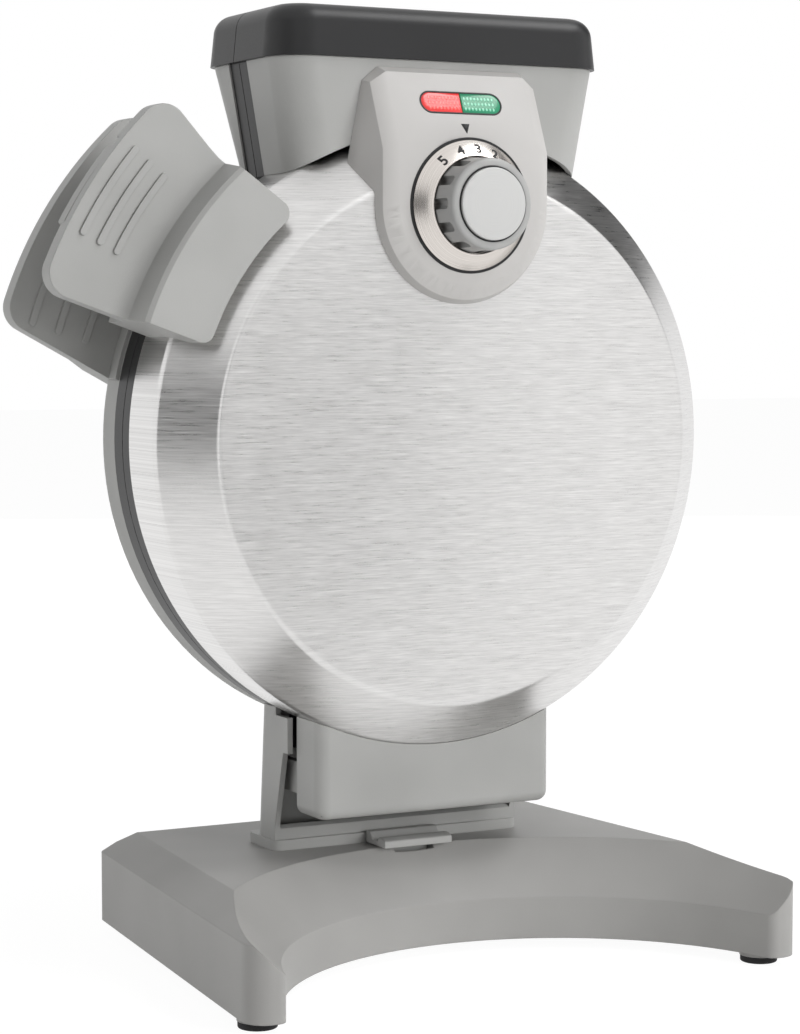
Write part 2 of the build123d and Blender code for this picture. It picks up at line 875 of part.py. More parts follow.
def make_neck_screws():
    """Screws from inside the rear housing down into the neck."""
    pieces = []
    for side in (-1, 1):
        seat = neck_top_height(neck_screw_x) + neck_screw_seat
        pieces.append(Pos(side * neck_screw_x, neck_screw_y, seat) * Rot(180, 0, 0) * screw(3 * plastic_wall))
    return Compound(children=pieces)


# Base


def base_outline():
    """Plan of the base with a straight front between the legs."""
    half = [
        (base_outer_half_width, base_front),
        (base_outer_half_width, base_leg_side_end),
        (base_back_half_width, base_back),
    ]
    points = half + [(-x, y) for x, y in reversed(half)]
    outline = make_face(Polyline(*points, close=True))
    outline = fillet(outline.vertices().group_by(Axis.Y)[-1], base_corner_radius)
    return fillet(outline.vertices().group_by(Axis.Y)[0], leg_corner_radius)


def base_form(inset):
    """Solid form of the base, shrunk by an inset, with the arch and its slope taken out."""
    outline = offset(base_outline(), -inset) if inset else base_outline()
    side_height = base_side_height - inset
    top_height = base_top_height - inset
    taper = 90 - degrees_of(base_top_height - base_side_height, base_bevel_run)
    lower = Pos(0, 0, base_bottom_height) * extrude(outline, side_height - base_bottom_height)
    upper = Pos(0, 0, side_height) * extrude(outline, top_height - side_height, taper=taper)
    rise = base_top_height - arch_lip_height
    nest = Pos(0, arch_centre, 0) * turned(
        [
            (0, -1),
            (arch_radius + inset, -1),
            (arch_radius + inset, arch_lip_height - inset),
            (arch_radius + inset + 2 * arch_slope_run, arch_lip_height - inset + 2 * rise),
            (0, arch_lip_height - inset + 2 * rise),
        ]
    )
    form = lower + upper - nest
    tips = [
        e
        for e in form.edges().filter_by(Axis.Z)
        if abs(e.center().Y - base_front - inset) < seat_clearance
        and abs(e.center().X) < arch_radius + inset
    ]
    return fillet(tips, max(leg_tip_radius - inset, seat_clearance))


def degrees_of(rise, run):
    """Slope angle in degrees."""
    return Vector(run, rise, 0).get_angle(Vector(1, 0, 0))


def four_places(front_x, front_y, rear_x, rear_y):
    """Two places in front and two behind, on both sides."""
    return [(front_x, front_y), (-front_x, front_y), (rear_x, rear_y), (-rear_x, rear_y)]


def make_base_cover():
    """Moulded base shell with screw posts, hook slots, tab slot and a hole for the cord bush."""
    cover = base_form(0) - base_form(base_wall)
    cover -= block(
        (-2 * base_outer_half_width, 2 * base_outer_half_width),
        (2 * base_front, 2 * base_back),
        (0, base_bottom_height),
    )
    inner = base_form(base_wall / 2)
    for x, y in four_places(front_post_x, front_post_y, rear_post_x, rear_post_y):
        post = Pos(x, y, (bottom_plate_top + base_top_height) / 2) * Cylinder(
            post_radius, base_top_height - bottom_plate_top
        )
        hole = Pos(x, y, bottom_plate_top) * Cylinder(screw_radius, 4 * plastic_wall)
        cover += (post & inner) - hole
    cover -= Pos(0, base_back, gland_height) * Rot(90, 0, 0) * Cylinder(gland_body_radius, 4 * base_wall)
    hook_slot = block(
        (hook_spacing - hook_half_width - body_gap, hook_spacing + hook_half_width + body_gap),
        (flange_back - 3 * plastic_wall - seat_clearance, flange_back + seat_clearance),
        (base_top_height - 2 * base_wall, base_top_height + 1),
    )
    cover -= both_sides(hook_slot)
    tab_slot = block(
        (-tab_stem_half_width - body_gap, tab_stem_half_width + body_gap),
        (-2 * tab_stem_thickness - tab_travel - body_gap, -tab_stem_thickness + body_gap),
        (base_top_height - 4 * base_wall, base_top_height + 1),
    )
    post = block(
        (-tab_spring_radius, tab_spring_radius),
        (tab_spring_length - tab_stem_thickness, tab_spring_length),
        (tab_spring_height() - tab_spring_radius, base_top_height - base_wall / 2),
    )
    return cover - tab_slot + post


def make_bottom_plate():
    """Plate that closes the base from below, with bosses for the feet and screw holes."""
    fit = base_wall + seat_clearance
    plate = base_form(fit) & block(
        (-2 * base_outer_half_width, 2 * base_outer_half_width),
        (2 * base_front, 2 * base_back),
        (base_bottom_height, bottom_plate_top),
    )
    for x, y in four_places(front_foot_x, front_foot_y, rear_foot_x, rear_foot_y):
        boss = Pos(x, y, (foot_height + base_bottom_height) / 2) * Cylinder(
            foot_boss_radius, base_bottom_height - foot_height
        )
        plate += boss
    for x, y in four_places(front_post_x, front_post_y, rear_post_x, rear_post_y):
        hole = Cylinder(screw_radius + seat_clearance, 4 * bottom_plate_thickness)
        plate -= Pos(x, y, base_bottom_height) * hole
    return plate


def make_rubber_feet():
    """Four round pads."""
    pads = []
    for x, y in four_places(front_foot_x, front_foot_y, rear_foot_x, rear_foot_y):
        pad = Cylinder(foot_radius, foot_height)
        pad = fillet(pad.edges().sort_by(Axis.Z)[0], foot_height / 4)
        pads.append(Pos(x, y, foot_height / 2) * pad)
    return Compound(children=pads)


def make_base_screws():
    """Screws from below into the posts."""
    pieces = []
    for x, y in four_places(front_post_x, front_post_y, rear_post_x, rear_post_y):
        pieces.append(Pos(x, y, base_bottom_height) * screw(bottom_plate_thickness + 2 * plastic_wall - 1))
    return Compound(children=pieces)


def make_cord_gland():
    """Bush in the back wall where a supply cord would enter."""
    body = Cylinder(gland_body_radius, base_wall + gland_flange_thickness)
    flange = Pos(0, 0, (base_wall + gland_flange_thickness) / 2) * Cylinder(
        gland_flange_radius, gland_flange_thickness
    )
    flange = fillet(flange.edges().sort_by(Axis.Z)[-1], gland_flange_thickness / 3)
    bush = body + flange - Cylinder(gland_hole_radius, 6 * base_wall)
    middle = base_back - base_wall + (base_wall + gland_flange_thickness) / 2 - gland_flange_thickness / 2
    return Pos(0, middle, gland_height) * Rot(-90, 0, 0) * bush


def make_release_tab():
    """Sprung tab with a finger trough, a tongue into the neck's foot and a stem into the base."""
    seat = base_top_height + tab_rise
    back = flange_front - body_gap
    profile = [
        (tab_front, seat),
        (back, seat),
        (back, seat + tab_ledge_height),
        (back - tab_ledge_run, seat + tab_ledge_height),
        (back - tab_trough_back, seat + tab_trough_height),
        (back - tab_trough_front, seat + tab_trough_height),
        (back - tab_bar_back, seat + tab_bar_height),
        (tab_front + tab_nose_run, seat + tab_bar_height),
        (tab_front, seat + tab_nose_height),
    ]
    tab = side_extrusion(profile, -tab_half_width, tab_half_width)
    tongue_low = base_top_height + plastic_wall / 2 + body_gap
    tab += block(
        (-tab_stem_half_width, tab_stem_half_width),
        (back - 1, flange_front + tab_tongue_length),
        (tongue_low, base_top_height + plastic_wall + body_gap),
    )
    stem_front = -2 * tab_stem_thickness
    tab += block(
        (-tab_stem_half_width, tab_stem_half_width),
        (stem_front, stem_front + tab_stem_thickness - body_gap),
        (base_top_height - base_wall - 4 * tab_spring_radius, seat + 1),
    )
    return tab


# Grips and latch


def sector(inner_radius, outer_radius, start_angle, end_angle, near, far, corner):
    """Rounded sector of a ring between two angles and two depths."""
    angles = (start_angle, end_angle)
    return cut_sector((inner_radius, outer_radius), angles, angles, (near, far), corner, corner)


def cut_sector(radii, inner_angles, outer_angles, depths, inner_corner, outer_corner):
    """Sector whose inner and outer arcs each have their own pair of angles and corner rounding."""
    inner_radius, outer_radius = radii
    inner_arc = CenterArc((0, 0), inner_radius, inner_angles[0], inner_angles[1] - inner_angles[0])
    outer_arc = CenterArc((0, 0), outer_radius, outer_angles[0], outer_angles[1] - outer_angles[0])
    sides = [Line(inner_arc @ 0, outer_arc @ 0), Line(outer_arc @ 1, inner_arc @ 1)]
    face = make_face([outer_arc, inner_arc] + sides)
    widest = (outer_radius - inner_radius) / 2.2
    middle_radius = (inner_radius + outer_radius) / 2
    if outer_corner:
        outer = face.vertices().filter_by(lambda v: Vector(v.X, v.Y, 0).length > middle_radius)
        face = fillet(outer, min(outer_corner, widest))
    if inner_corner:
        inner = face.vertices().filter_by(
            lambda v: abs(Vector(v.X, v.Y, 0).length - inner_radius) < seat_clearance
        )
        face = fillet(inner, min(inner_corner, widest))
    return Pos(0, 0, depths[0]) * extrude(face, depths[1] - depths[0])


def arc_rib(radius, start_angle, end_angle, near, far):
    """Rounded rib that follows a circle about the disc axis."""
    path = CenterArc((0, 0), radius, start_angle, end_angle - start_angle)
    return Pos(0, 0, near) * extrude(SlotArc(path, rib_width), far - near)


def swept_profile(points, start_angle, end_angle):
    """Turn an outline of (radius, depth) points through the grip's angles."""
    return Rot(0, 0, start_angle) * turned(points, end_angle - start_angle)


def make_front_grip():
    """Lid grip: mount plate on the disc's bevel, step, ribbed paddle with a hollow back."""
    front_face = grip_front_depth
    paddle_back = grip_front_depth - grip_thickness
    profile = [
        (mount_inner_radius, mount_back_depth),
        (mount_inner_radius, mount_front_depth),
        (mount_outer_radius, mount_front_depth),
        (mount_outer_radius + mount_chamfer, mount_front_depth - mount_chamfer),
        (grip_step_radius - step_foot, front_face + step_foot),
        (grip_step_radius, front_face + step_lip),
        (grip_step_radius + step_run, front_face),
        (grip_outer_radius, front_face),
        (grip_outer_radius, paddle_back),
        (grip_step_radius, paddle_back),
        (mount_outer_radius + mount_chamfer, paddle_back),
        (mount_outer_radius + mount_chamfer, mount_back_depth),
    ]
    grip = swept_profile(profile, mount_start_angle, grip_end_angle)
    paddle_angles = (grip_start_angle, grip_end_angle)
    depths = (0, 2 * mount_front_depth)
    mount = cut_sector(
        (mount_inner_radius, mount_outer_radius),
        (mount_start_angle, grip_end_angle),
        paddle_angles,
        depths,
        mount_corner_radius,
        0,
    )
    paddle = cut_sector(
        (mount_outer_radius, grip_outer_radius), paddle_angles, paddle_angles, depths, 0, grip_corner_radius
    )
    grip &= mount + paddle
    pocket = sector(
        grip_step_radius,
        grip_outer_radius - grip_wall,
        grip_start_angle + 1,
        grip_end_angle - 1,
        paddle_back - 1,
        front_face - grip_wall,
        grip_corner_radius - grip_wall,
    )
    grip -= pocket
    grip -= sector(
        grip_outer_radius - 2 * grip_wall,
        grip_outer_radius + 1,
        trigger_start_angle - trigger_gap_angle,
        trigger_end_angle + trigger_gap_angle,
        paddle_back - 1,
        paddle_back + trigger_notch_depth,
        0,
    )
    for radius in rib_radii:
        grip += arc_rib(radius, rib_start_angle, rib_end_angle, front_face, front_face + rib_height)
    grip -= steel_form(seat_clearance / 2, -1)
    grip -= latch_room()
    pin_hole = latch_pivot(Cylinder(latch_pin_radius, latch_pin_length()))
    return front(grip - pin_hole) - grip_screw_holes(front, front_grip_screw_depth)


def latch_pivot(shape):
    """Place a shape drawn along Z on the latch's pivot, along the tangent of the disc."""
    x = latch_pivot_radius * cos(radians(grip_middle_angle))
    up = latch_pivot_radius * sin(radians(grip_middle_angle))
    return Pos(x, up, latch_pivot_depth) * Rot(0, 0, grip_middle_angle) * Rot(90, 0, 0) * shape


def latch_width():
    """Length of the latch's boss along its pin."""
    return 2 * latch_pivot_radius * sin(radians(hook_arm_half_angle))


def latch_pin_length():
    """Pin length: the boss and its two bearings."""
    return latch_width() + 6 * grip_wall


def latch_room():
    """Space inside the mount block in which the latch arm swings."""
    half = 2 * hook_arm_half_angle
    room = sector(
        hook_arm_inner - 4 * body_gap,
        mount_outer_radius + 2 * mount_chamfer,
        grip_middle_angle - half,
        grip_middle_angle + half,
        0,
        latch_pivot_depth + latch_boss_radius + 3 * body_gap,
        0,
    )
    blade = sector(
        mount_outer_radius - 1,
        grip_step_radius + 1,
        trigger_start_angle - 2 * trigger_gap_angle,
        trigger_end_angle + 2 * trigger_gap_angle,
        0,
        trigger_far + trigger_swing_room,
        0,
    )
    return room + blade


def latch_form():
    """Trigger blade, pivot boss, hook arm and nose in the half's frame."""
    blade = sector(
        grip_step_radius - trigger_overlap,
        trigger_outer_radius,
        trigger_start_angle,
        trigger_end_angle,
        trigger_near,
        trigger_far,
        trigger_corner_radius,
    )
    bar = sector(
        trigger_outer_radius - trigger_bar_width,
        trigger_outer_radius,
        trigger_start_angle,
        trigger_end_angle,
        trigger_near - trigger_bar_rise,
        trigger_far + trigger_bar_drop,
        trigger_bar_width / 2,
    )
    neck = sector(
        hook_arm_inner,
        grip_step_radius,
        grip_middle_angle - hook_arm_half_angle,
        grip_middle_angle + hook_arm_half_angle,
        trigger_near,
        trigger_far,
        0,
    )
    boss = latch_pivot(Cylinder(latch_boss_radius, latch_width()))
    arm = sector(
        hook_arm_inner,
        hook_arm_outer,
        grip_middle_angle - hook_arm_half_angle,
        grip_middle_angle + hook_arm_half_angle,
        hook_nose_near,
        trigger_far,
        0,
    )
    nose = sector(
        hook_nose_radius,
        hook_arm_outer,
        grip_middle_angle - hook_arm_half_angle,
        grip_middle_angle + hook_arm_half_angle,
        hook_nose_near,
        hook_nose_far,
        0,
    )
    hole = latch_pivot(Cylinder(latch_pin_radius + running_clearance, 4 * latch_width()))
    return blade + bar + neck + boss + arm + nose - hole


def make_latch_trigger():
    """Latch on the lid."""
    return front(latch_form())


def make_latch_spring():
    """Torsion spring beside the latch's boss, with one arm lying on the blade."""
    start = latch_width() / 2 + spring_wire + body_gap
    radius = latch_pin_radius + 1.2 * spring_wire
    turn_pitch = 1.8 * spring_wire
    turns = Part()
    for index in range(latch_spring_turns):
        turns += Pos(0, 0, start + index * turn_pitch) * Torus(radius, spring_wire)
    arm = Pos(latch_spring_arm / 2, radius, start) * Rot(0, 90, 0) * Cylinder(spring_wire, latch_spring_arm)
    bend_drop = radius - (trigger_far - latch_pivot_depth)
    bend = Rot(90, 0, 0) * Cylinder(spring_wire, bend_drop)
    bend = Pos(latch_spring_arm, radius - bend_drop / 2, start) * bend
    elbow = Pos(latch_spring_arm, radius, start) * Sphere(spring_wire)
    return front(latch_pivot(turns + arm + bend + elbow))


def make_latch_pin():
    """Pin that the latch turns on."""
    return front(latch_pivot(Cylinder(latch_pin_radius, latch_pin_length())))


def make_rear_grip():
    """Stand grip: collar and root on the rear housing and a ribbed paddle with a hollow back."""
    profile = [
        (rear_root_inner_radius, rear_root_near),
        (rear_collar_radius, rear_root_near),
        (rear_collar_radius, rear_grip_front),
        (rear_grip_outer_radius, rear_grip_front),
        (rear_grip_outer_radius, rear_grip_back),
        (rear_root_outer_radius + rear_web_run, rear_grip_back),
        (rear_root_outer_radius - rear_web_run, rear_root_far),
        (rear_root_inner_radius, rear_root_far),
    ]
    grip = swept_profile(profile, rear_grip_start_angle, rear_grip_end_angle)
    grip &= cut_sector(
        (rear_root_inner_radius, rear_grip_outer_radius),
        (rear_grip_start_angle, rear_grip_end_angle),
        (rear_grip_start_angle, rear_grip_tip_angle),
        (0, 2 * rear_root_far),
        0,
        grip_corner_radius,
    )
    grip += sector(
        rear_root_inner_radius,
        rear_root_outer_radius,
        rear_grip_start_angle,
        rear_root_end_angle,
        rear_root_near,
        rear_grip_back,
        0,
    )
    grip -= sector(
        rear_root_outer_radius + rear_web_run + 1,
        rear_grip_outer_radius - grip_wall,
        rear_grip_start_angle + 1,
        rear_grip_tip_angle - 1,
        rear_grip_front + grip_wall,
        rear_grip_back + 1,
        grip_corner_radius - grip_wall,
    )
    for radius in rear_rib_radii:
        grip += arc_rib(
            radius, rear_rib_start_angle, rear_rib_end_angle, rear_grip_front - rib_height, rear_grip_front
        )
    grip -= sector(
        rear_shell_radius,
        pocket_outer_radius,
        grip_middle_angle - pocket_half_angle,
        grip_middle_angle + pocket_half_angle,
        0,
        rear_grip_front,
        0,
    )
    grip -= rear_form(seat_clearance / 2, -1)
    return rear(grip) - grip_screw_holes(rear, rear_grip_screw_depth)


def grip_screws(place, depth):
    """Two screws from inside a shell out into its grip."""
    pieces = []
    inner_radius = shell_radius - steel_thickness if place is front else rear_shell_radius - plastic_wall
    inner_radius -= seat_clearance
    for side in (-1, 1):
        angle = grip_middle_angle + side * grip_screw_angle
        one = at_ring(Rot(0, 90, 0) * screw(grip_screw_length), inner_radius, angle)
        pieces.append(place(Pos(0, 0, depth) * one))
    return Compound(children=pieces)


def grip_screw_holes(place, depth):
    """Holes for a grip's screws."""
    holes = []
    for side in (-1, 1):
        hole = Rot(0, 90, 0) * Cylinder(screw_radius, 2 * grip_screw_length + 2)
        holes.append(
            place(Pos(0, 0, depth) * at_ring(hole, liner_radius, grip_middle_angle + side * grip_screw_angle))
        )
    return holes[0] + holes[1]


def make_strike():
    """Steel plate on the rear grip that the hook's nose passes."""
    bar = sector(
        rear_shell_radius + seat_clearance,
        strike_outer_radius,
        grip_middle_angle - pocket_half_angle + strike_side_angle,
        grip_middle_angle + pocket_half_angle - strike_side_angle,
        strike_near,
        rear_grip_front,
        0,
    )
    return rear(bar)


# Control pod


def pod_outline():
    """Front outline of the pod: round lobe below, straight sides, narrowed top."""
    half = [
        (pod_half_width, dial_up),
        (pod_half_width, shoulder_up),
        (pod_top_half_width, pod_top_up),
    ]
    points = half + [(-x, y) for x, y in reversed(half)]
    return make_face(Polyline(*points, close=True)) + Pos(0, dial_up) * Circle(pod_half_width)


def lean_plane():
    """Plane of the pod's upper face."""
    lean = radians(pod_lean_angle)
    origin = Vector(0, crease_up, pod_face_depth)
    return Plane(origin=origin, x_dir=(1, 0, 0), z_dir=Vector(0, sin(lean), cos(lean)))


def lean_up(up):
    """Distance up the leaning face from the crease to a height above the disc centre."""
    return (up - crease_up) / cos(radians(pod_lean_angle))


def bevelled_prism(outline, length, width, drop):
    """Prism behind Z = 0 that flares backwards and carries a flat sloping border in front."""
    body = Pos(0, 0, -drop) * extrude(outline, drop - length, taper=-pod_flare_angle)
    border = Pos(0, 0, -drop) * extrude(outline, drop, taper=degrees_of(width, drop))
    return body + border


def pod_lean_outline(inset):
    """Outline of the pod's leaning part, drawn on the leaning face."""
    reach = 3 * pod_half_width
    return Rectangle(2 * (pod_half_width - inset), 2 * reach)


def pod_form():
    """Outer form of the pod with its sloping border."""
    length = pod_face_depth - spout_bottom_half_depth + plastic_wall
    upright = bevelled_prism(pod_outline(), length, pod_border_width, pod_border_drop)
    leaning = bevelled_prism(pod_lean_outline(0), pod_face_depth, pod_border_width, pod_border_drop)
    return Pos(0, 0, pod_face_depth) * upright & Location(lean_plane()) * leaning


def pod_hollow():
    """Space inside the pod."""
    upright = extrude(offset(pod_outline(), -pod_wall), pod_face_depth - pod_border_drop - pod_wall / 2)
    leaning = Pos(0, 0, -2 * pod_face_depth) * extrude(
        pod_lean_outline(pod_wall), 2 * pod_face_depth - pod_border_drop - pod_wall / 2
    )
    return upright & Location(lean_plane()) * leaning


def window_form(outset, near, far):
    """Round ended window on the leaning face between two heights above it."""
    outline = SlotOverall(2 * (window_half_length + outset), window_height_across + 2 * outset)
    shape = Pos(0, lean_up(window_up), near) * extrude(outline, far - near)
    return Location(lean_plane()) * shape


def make_control_pod():
    """Grey pod on the disc and spout, open behind, with a window and a hole for the dial's shaft."""
    pod = pod_form() - pod_hollow()
    wall = pod_border_drop + pod_wall
    for side in (-1, 1):
        boss = Pos(side * pod_screw_x, dial_up - pod_screw_drop, 0) * disc(
            pod_boss_radius, shell_side_depth, pod_face_depth - wall / 2
        )
        hole = Pos(side * pod_screw_x, dial_up - pod_screw_drop, 0) * disc(
            screw_radius, shell_side_depth, pod_screw_reach()
        )
        pod = pod + boss - hole
    pod -= steel_form(seat_clearance / 2, -1)
    pod -= window_form(window_frame_width, -2 * wall, wall)
    pod -= Pos(0, dial_up, 0) * disc(bushing_radius + running_clearance + body_gap, 0, pod_face_depth + 1)
    pod -= Pos(0, dial_up, 0) * disc(bushing_radius + 1.5 * pod_wall, 0, pod_face_depth - pod_wall)
    return front(pod) - lid_spout_form(-seat_clearance / 2)


def pod_screw_reach():
    """Depth that the pod's screws reach."""
    return pod_face_depth - pod_wall / 2


def make_pod_screws():
    """Two screws from inside the steel dish into the pod."""
    seat = shell_face_depth - steel_thickness
    pieces = []
    for side in (-1, 1):
        place = Pos(side * pod_screw_x, dial_up - pod_screw_drop, seat)
        pieces.append(front(place * screw(pod_screw_reach() - seat - 0.5)))
    return Compound(children=pieces)


def make_window_bezel():
    """Thin dark edge round the indicator lenses."""
    bezel = window_form(window_frame_width, -lens_depth, lens_proud / 2) - window_form(0, -2 * lens_depth, 1)
    return front(bezel)


def make_lens(side):
    """Half of the indicator window on one side of the middle."""
    reach = 2 * window_half_length
    half = Pos(side * reach / 2, 0, 0) * Box(reach, 4 * disc_up, 4 * pod_face_depth)
    return front(window_form(0, -lens_depth, lens_proud) & half)


def make_indicator_board():
    """Small circuit board behind the window with one lamp behind each lens."""
    middle = lean_up(window_up)
    top = -pod_border_drop - pod_wall / 2 - body_gap
    board = Pos(0, middle, top - board_depth / 2) * Box(
        2 * window_half_length, 1.2 * window_height_across, board_depth
    )
    for side in (-1, 1):
        board += Pos(side * window_half_length / 2, middle, top + board_lamp_height / 2) * Cylinder(
            board_lamp_height, board_lamp_height
        )
    return front(Location(lean_plane()) * board)


def make_thermostat():
    """Thermostat behind the steel face, with a shoulder and a bushing through it."""
    steel_inside = shell_face_depth - steel_thickness
    body = disc(thermostat_radius, thermostat_near, thermostat_far)
    body += disc(bushing_radius + thermostat_shoulder, thermostat_far, steel_inside)
    body += disc(bushing_radius, steel_inside, bushing_far)
    body -= disc(shaft_radius + running_clearance, thermostat_near + thermostat_floor, bushing_far + 1)
    return front(Pos(0, dial_up, 0) * body)


def make_thermostat_nut():
    """Hexagon nut that clamps the thermostat to the steel face."""
    nut = extrude(RegularPolygon(bushing_radius + nut_wall, 6), bushing_far - shell_face_depth)
    nut -= Cylinder(bushing_radius, 4 * bushing_far)
    return front(Pos(0, dial_up, shell_face_depth) * nut)


def make_knob():
    """Fluted knob with a hollow back, a hub for the shaft and a seat for its cap."""
    near = dial_near + plate_of_dial
    body = turned(
        [
            (0, near),
            (dial_inner_radius - seat_clearance, near),
            (knob_front_radius, knob_front_depth),
            (0, knob_front_depth),
        ]
    )
    rim = body.edges().filter_by(GeomType.CIRCLE).sort_by(Axis.Z)[-1]
    body = fillet(rim, knob_softness)
    hollow_radius = knob_front_radius - 2 * knob_softness - flute_radius
    hollow = disc(hollow_radius, near - 1, cap_seat_depth - plastic_wall)
    hub = disc(2 * shaft_radius, near, cap_seat_depth)
    body = body - hollow + hub
    body -= disc(cap_ring_radius, cap_seat_depth, knob_front_depth + 1)
    body -= disc(shaft_radius, near - 1, cap_seat_depth - plastic_wall)
    flute = disc(flute_radius, near - 1, flute_end_depth - flute_radius)
    flute += Pos(0, 0, flute_end_depth - flute_radius) * Sphere(flute_radius)
    for index in range(flute_count):
        body -= at_ring(flute, flute_ring_radius, index * 360 / flute_count)
    return front(Pos(0, dial_up, 0) * body)


def make_knob_cap():
    """Disc set into the front of the knob."""
    cap = disc(cap_face_radius, cap_seat_depth, cap_face_depth)
    cap = fillet(cap.edges().sort_by(Axis.Z)[-1], seat_clearance * 4)
    return front(Pos(0, dial_up, 0) * cap)


def make_knob_trim():
    """Thin dark ring between the knob and its cap."""
    cap = ring(cap_face_radius, cap_ring_radius, cap_seat_depth, knob_front_depth)
    return front(Pos(0, dial_up, 0) * cap)


def make_dial_ring():
    """Number ring: a cone that rises to the knob."""
    cone = turned(
        [
            (2 * shaft_radius + plastic_wall, dial_near),
            (dial_outer_radius, dial_near),
            (dial_inner_radius, dial_far),
            (dial_inner_radius, dial_near + plate_of_dial),
            (2 * shaft_radius + plastic_wall, dial_near + plate_of_dial),
        ]
    )
    return front(Pos(0, dial_up, 0) * cone)


def make_control_shaft():
    """Shaft from the knob's hub into the thermostat."""
    shaft = disc(shaft_radius, thermostat_near + thermostat_floor + body_gap, cap_seat_depth - plastic_wall)
    return front(Pos(0, dial_up, 0) * shaft)


def make_tab_spring():
    """Extension spring that draws the release tab back."""
    length = tab_spring_length - tab_spring_gap() - 2 * spring_wire
    turns = coil(tab_spring_radius - spring_wire, spring_wire, length, tab_spring_turns)
    return Pos(0, tab_spring_gap() - tab_stem_thickness, tab_spring_height()) * Rot(-90, 0, 0) * turns


def tab_spring_gap():
    """Room between the stem's back and the spring's first turn."""
    return 2 * spring_wire + body_gap


def tab_spring_height():
    """Height of the tab spring's axis."""
    return base_top_height - base_wall - 2 * tab_spring_radius


def make_terminal_block():
    """Terminal block under the neck where the supply and heater leads meet."""
    body = Box(4 * terminal_pitch, terminal_depth, terminal_height)
    for index in range(-1, 2):
        body -= Pos(index * terminal_pitch, 0, terminal_height / 2) * Cylinder(screw_radius, terminal_height)
    return Pos(terminal_x, terminal_y, bottom_plate_top + terminal_height / 2) * body


def make_thermal_fuse():
    """Thermal cut-out on the stand's reflector."""
    depth = reflector_depth + reflector_thickness
    fuse = Pos(0, 0, depth + fuse_height / 2) * Cylinder(fuse_radius, fuse_height)
    return rear(fuse)


# Assembly and export


def make_front_spout():
    """The three spout pieces on the lid."""
    rim = front(disc(shell_radius + seat_clearance / 2, -1, 2 * spout_top_half_depth))
    return {
        "front_spout_housing": make_spout_housing(lid_spout_form, rim),
        "front_spout_funnel": make_spout_funnel(lid_spout_form, pour_half_depth),
        "front_spout_cap": make_spout_cap(spout_top_half_depth, pour_half_depth),
    }


def make_rear_spout():
    """The three spout pieces on the stand."""
    housing = front(rear_form(seat_clearance / 2, -1))
    drawn = {
        "rear_spout_housing": make_spout_housing(stand_spout_form, housing),
        "rear_spout_funnel": make_spout_funnel(stand_spout_form, rear_pour_half_depth),
        "rear_spout_cap": make_spout_cap(rear_spout_top_half_depth, rear_pour_half_depth),
    }
    return {name: mirror(shape, about=Plane.XZ) for name, shape in drawn.items()}


def make_cooking_half(place, name):
    """Plate, heater, clips, reflector and its screws for one half."""
    return {
        f"{name}_waffle_plate": place(waffle_plate()),
        f"{name}_heating_element": place(heating_element()),
        f"{name}_element_clips": place(element_clips()),
        f"{name}_reflector": place(reflector()),
        f"{name}_reflector_screws": place(reflector_screws()),
    }


def build_all():
    """Every node of the waffle maker by name, in the drawing frame."""
    nodes = {
        "base_cover": make_base_cover(),
        "bottom_plate": make_bottom_plate(),
        "rubber_feet": make_rubber_feet(),
        "base_screws": make_base_screws(),
        "cord_gland": make_cord_gland(),
        "terminal_block": make_terminal_block(),
        "release_tab": make_release_tab(),
        "tab_spring": make_tab_spring(),
        "neck": make_neck(),
        "neck_screws": make_neck_screws(),
        "hinge_pin": make_hinge_pin(),
        "rear_shell": make_rear_shell(),
        "rear_liner": make_rear_liner(),
        "rear_grip": make_rear_grip(),
        "rear_grip_screws": grip_screws(rear, rear_grip_screw_depth),
        "latch_strike": make_strike(),
        "thermal_fuse": make_thermal_fuse(),
        "front_shell": make_front_shell(),
        "front_liner": make_front_liner(),
        "hinge_arm": make_hinge_arm(),
        "arm_screws": make_arm_screws(),
        "hinge_block": make_hinge_block(),
        "front_grip": make_front_grip(),
        "front_grip_screws": grip_screws(front, front_grip_screw_depth),
        "latch_pin": make_latch_pin(),
        "latch_trigger": make_latch_trigger(),
        "latch_spring": make_latch_spring(),
        "control_pod": make_control_pod(),
        "pod_screws": make_pod_screws(),
        "window_bezel": make_window_bezel(),
        "red_lens": make_lens(-1),
        "green_lens": make_lens(1),
        "indicator_board": make_indicator_board(),
        "thermostat": make_thermostat(),
        "thermostat_nut": make_thermostat_nut(),
        "dial_ring": make_dial_ring(),
        "knob": make_knob(),
        "knob_trim": make_knob_trim(),
        "knob_cap": make_knob_cap(),
        "control_shaft": make_control_shaft(),
    }
    for place, name, spout in ((front, "front", make_front_spout()), (rear, "rear", make_rear_spout())):
        nodes.update(spout)
        nodes.update(make_cooking_half(place, name))
    return nodes


def footprint_middle(shapes):
    """Middle of the whole work in plan, to a tenth of a millimetre."""
    boxes = [shape.bounding_box() for shape in shapes]
    middle_x = (min(box.min.X for box in boxes) + max(box.max.X for box in boxes)) / 2
    middle_y = (min(box.min.Y for box in boxes) + max(box.max.Y for box in boxes)) / 2
    return round(middle_x, 1), round(middle_y, 1)


def export_all(nodes):
    """Write one STEP file per node, moved to the middle of the footprint."""
    middle_x, middle_y = footprint_middle(nodes.values())
    print(f"moved by {-middle_x} {-middle_y}")
    os.makedirs("parts", exist_ok=True)
    for name, shape in nodes.items():
        moved = Pos(-middle_x, -middle_y, 0) * shape
        solids = moved.solids()
        out = solids[0] if len(solids) == 1 else Compound(children=list(solids))
        out.label = name
        export_step(out, f"parts/{name}.step")
        print(f"{name} {len(solids)} {out.volume:.0f}")


if __name__ == "__main__":
    export_all(build_all())
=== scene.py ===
import json
import math

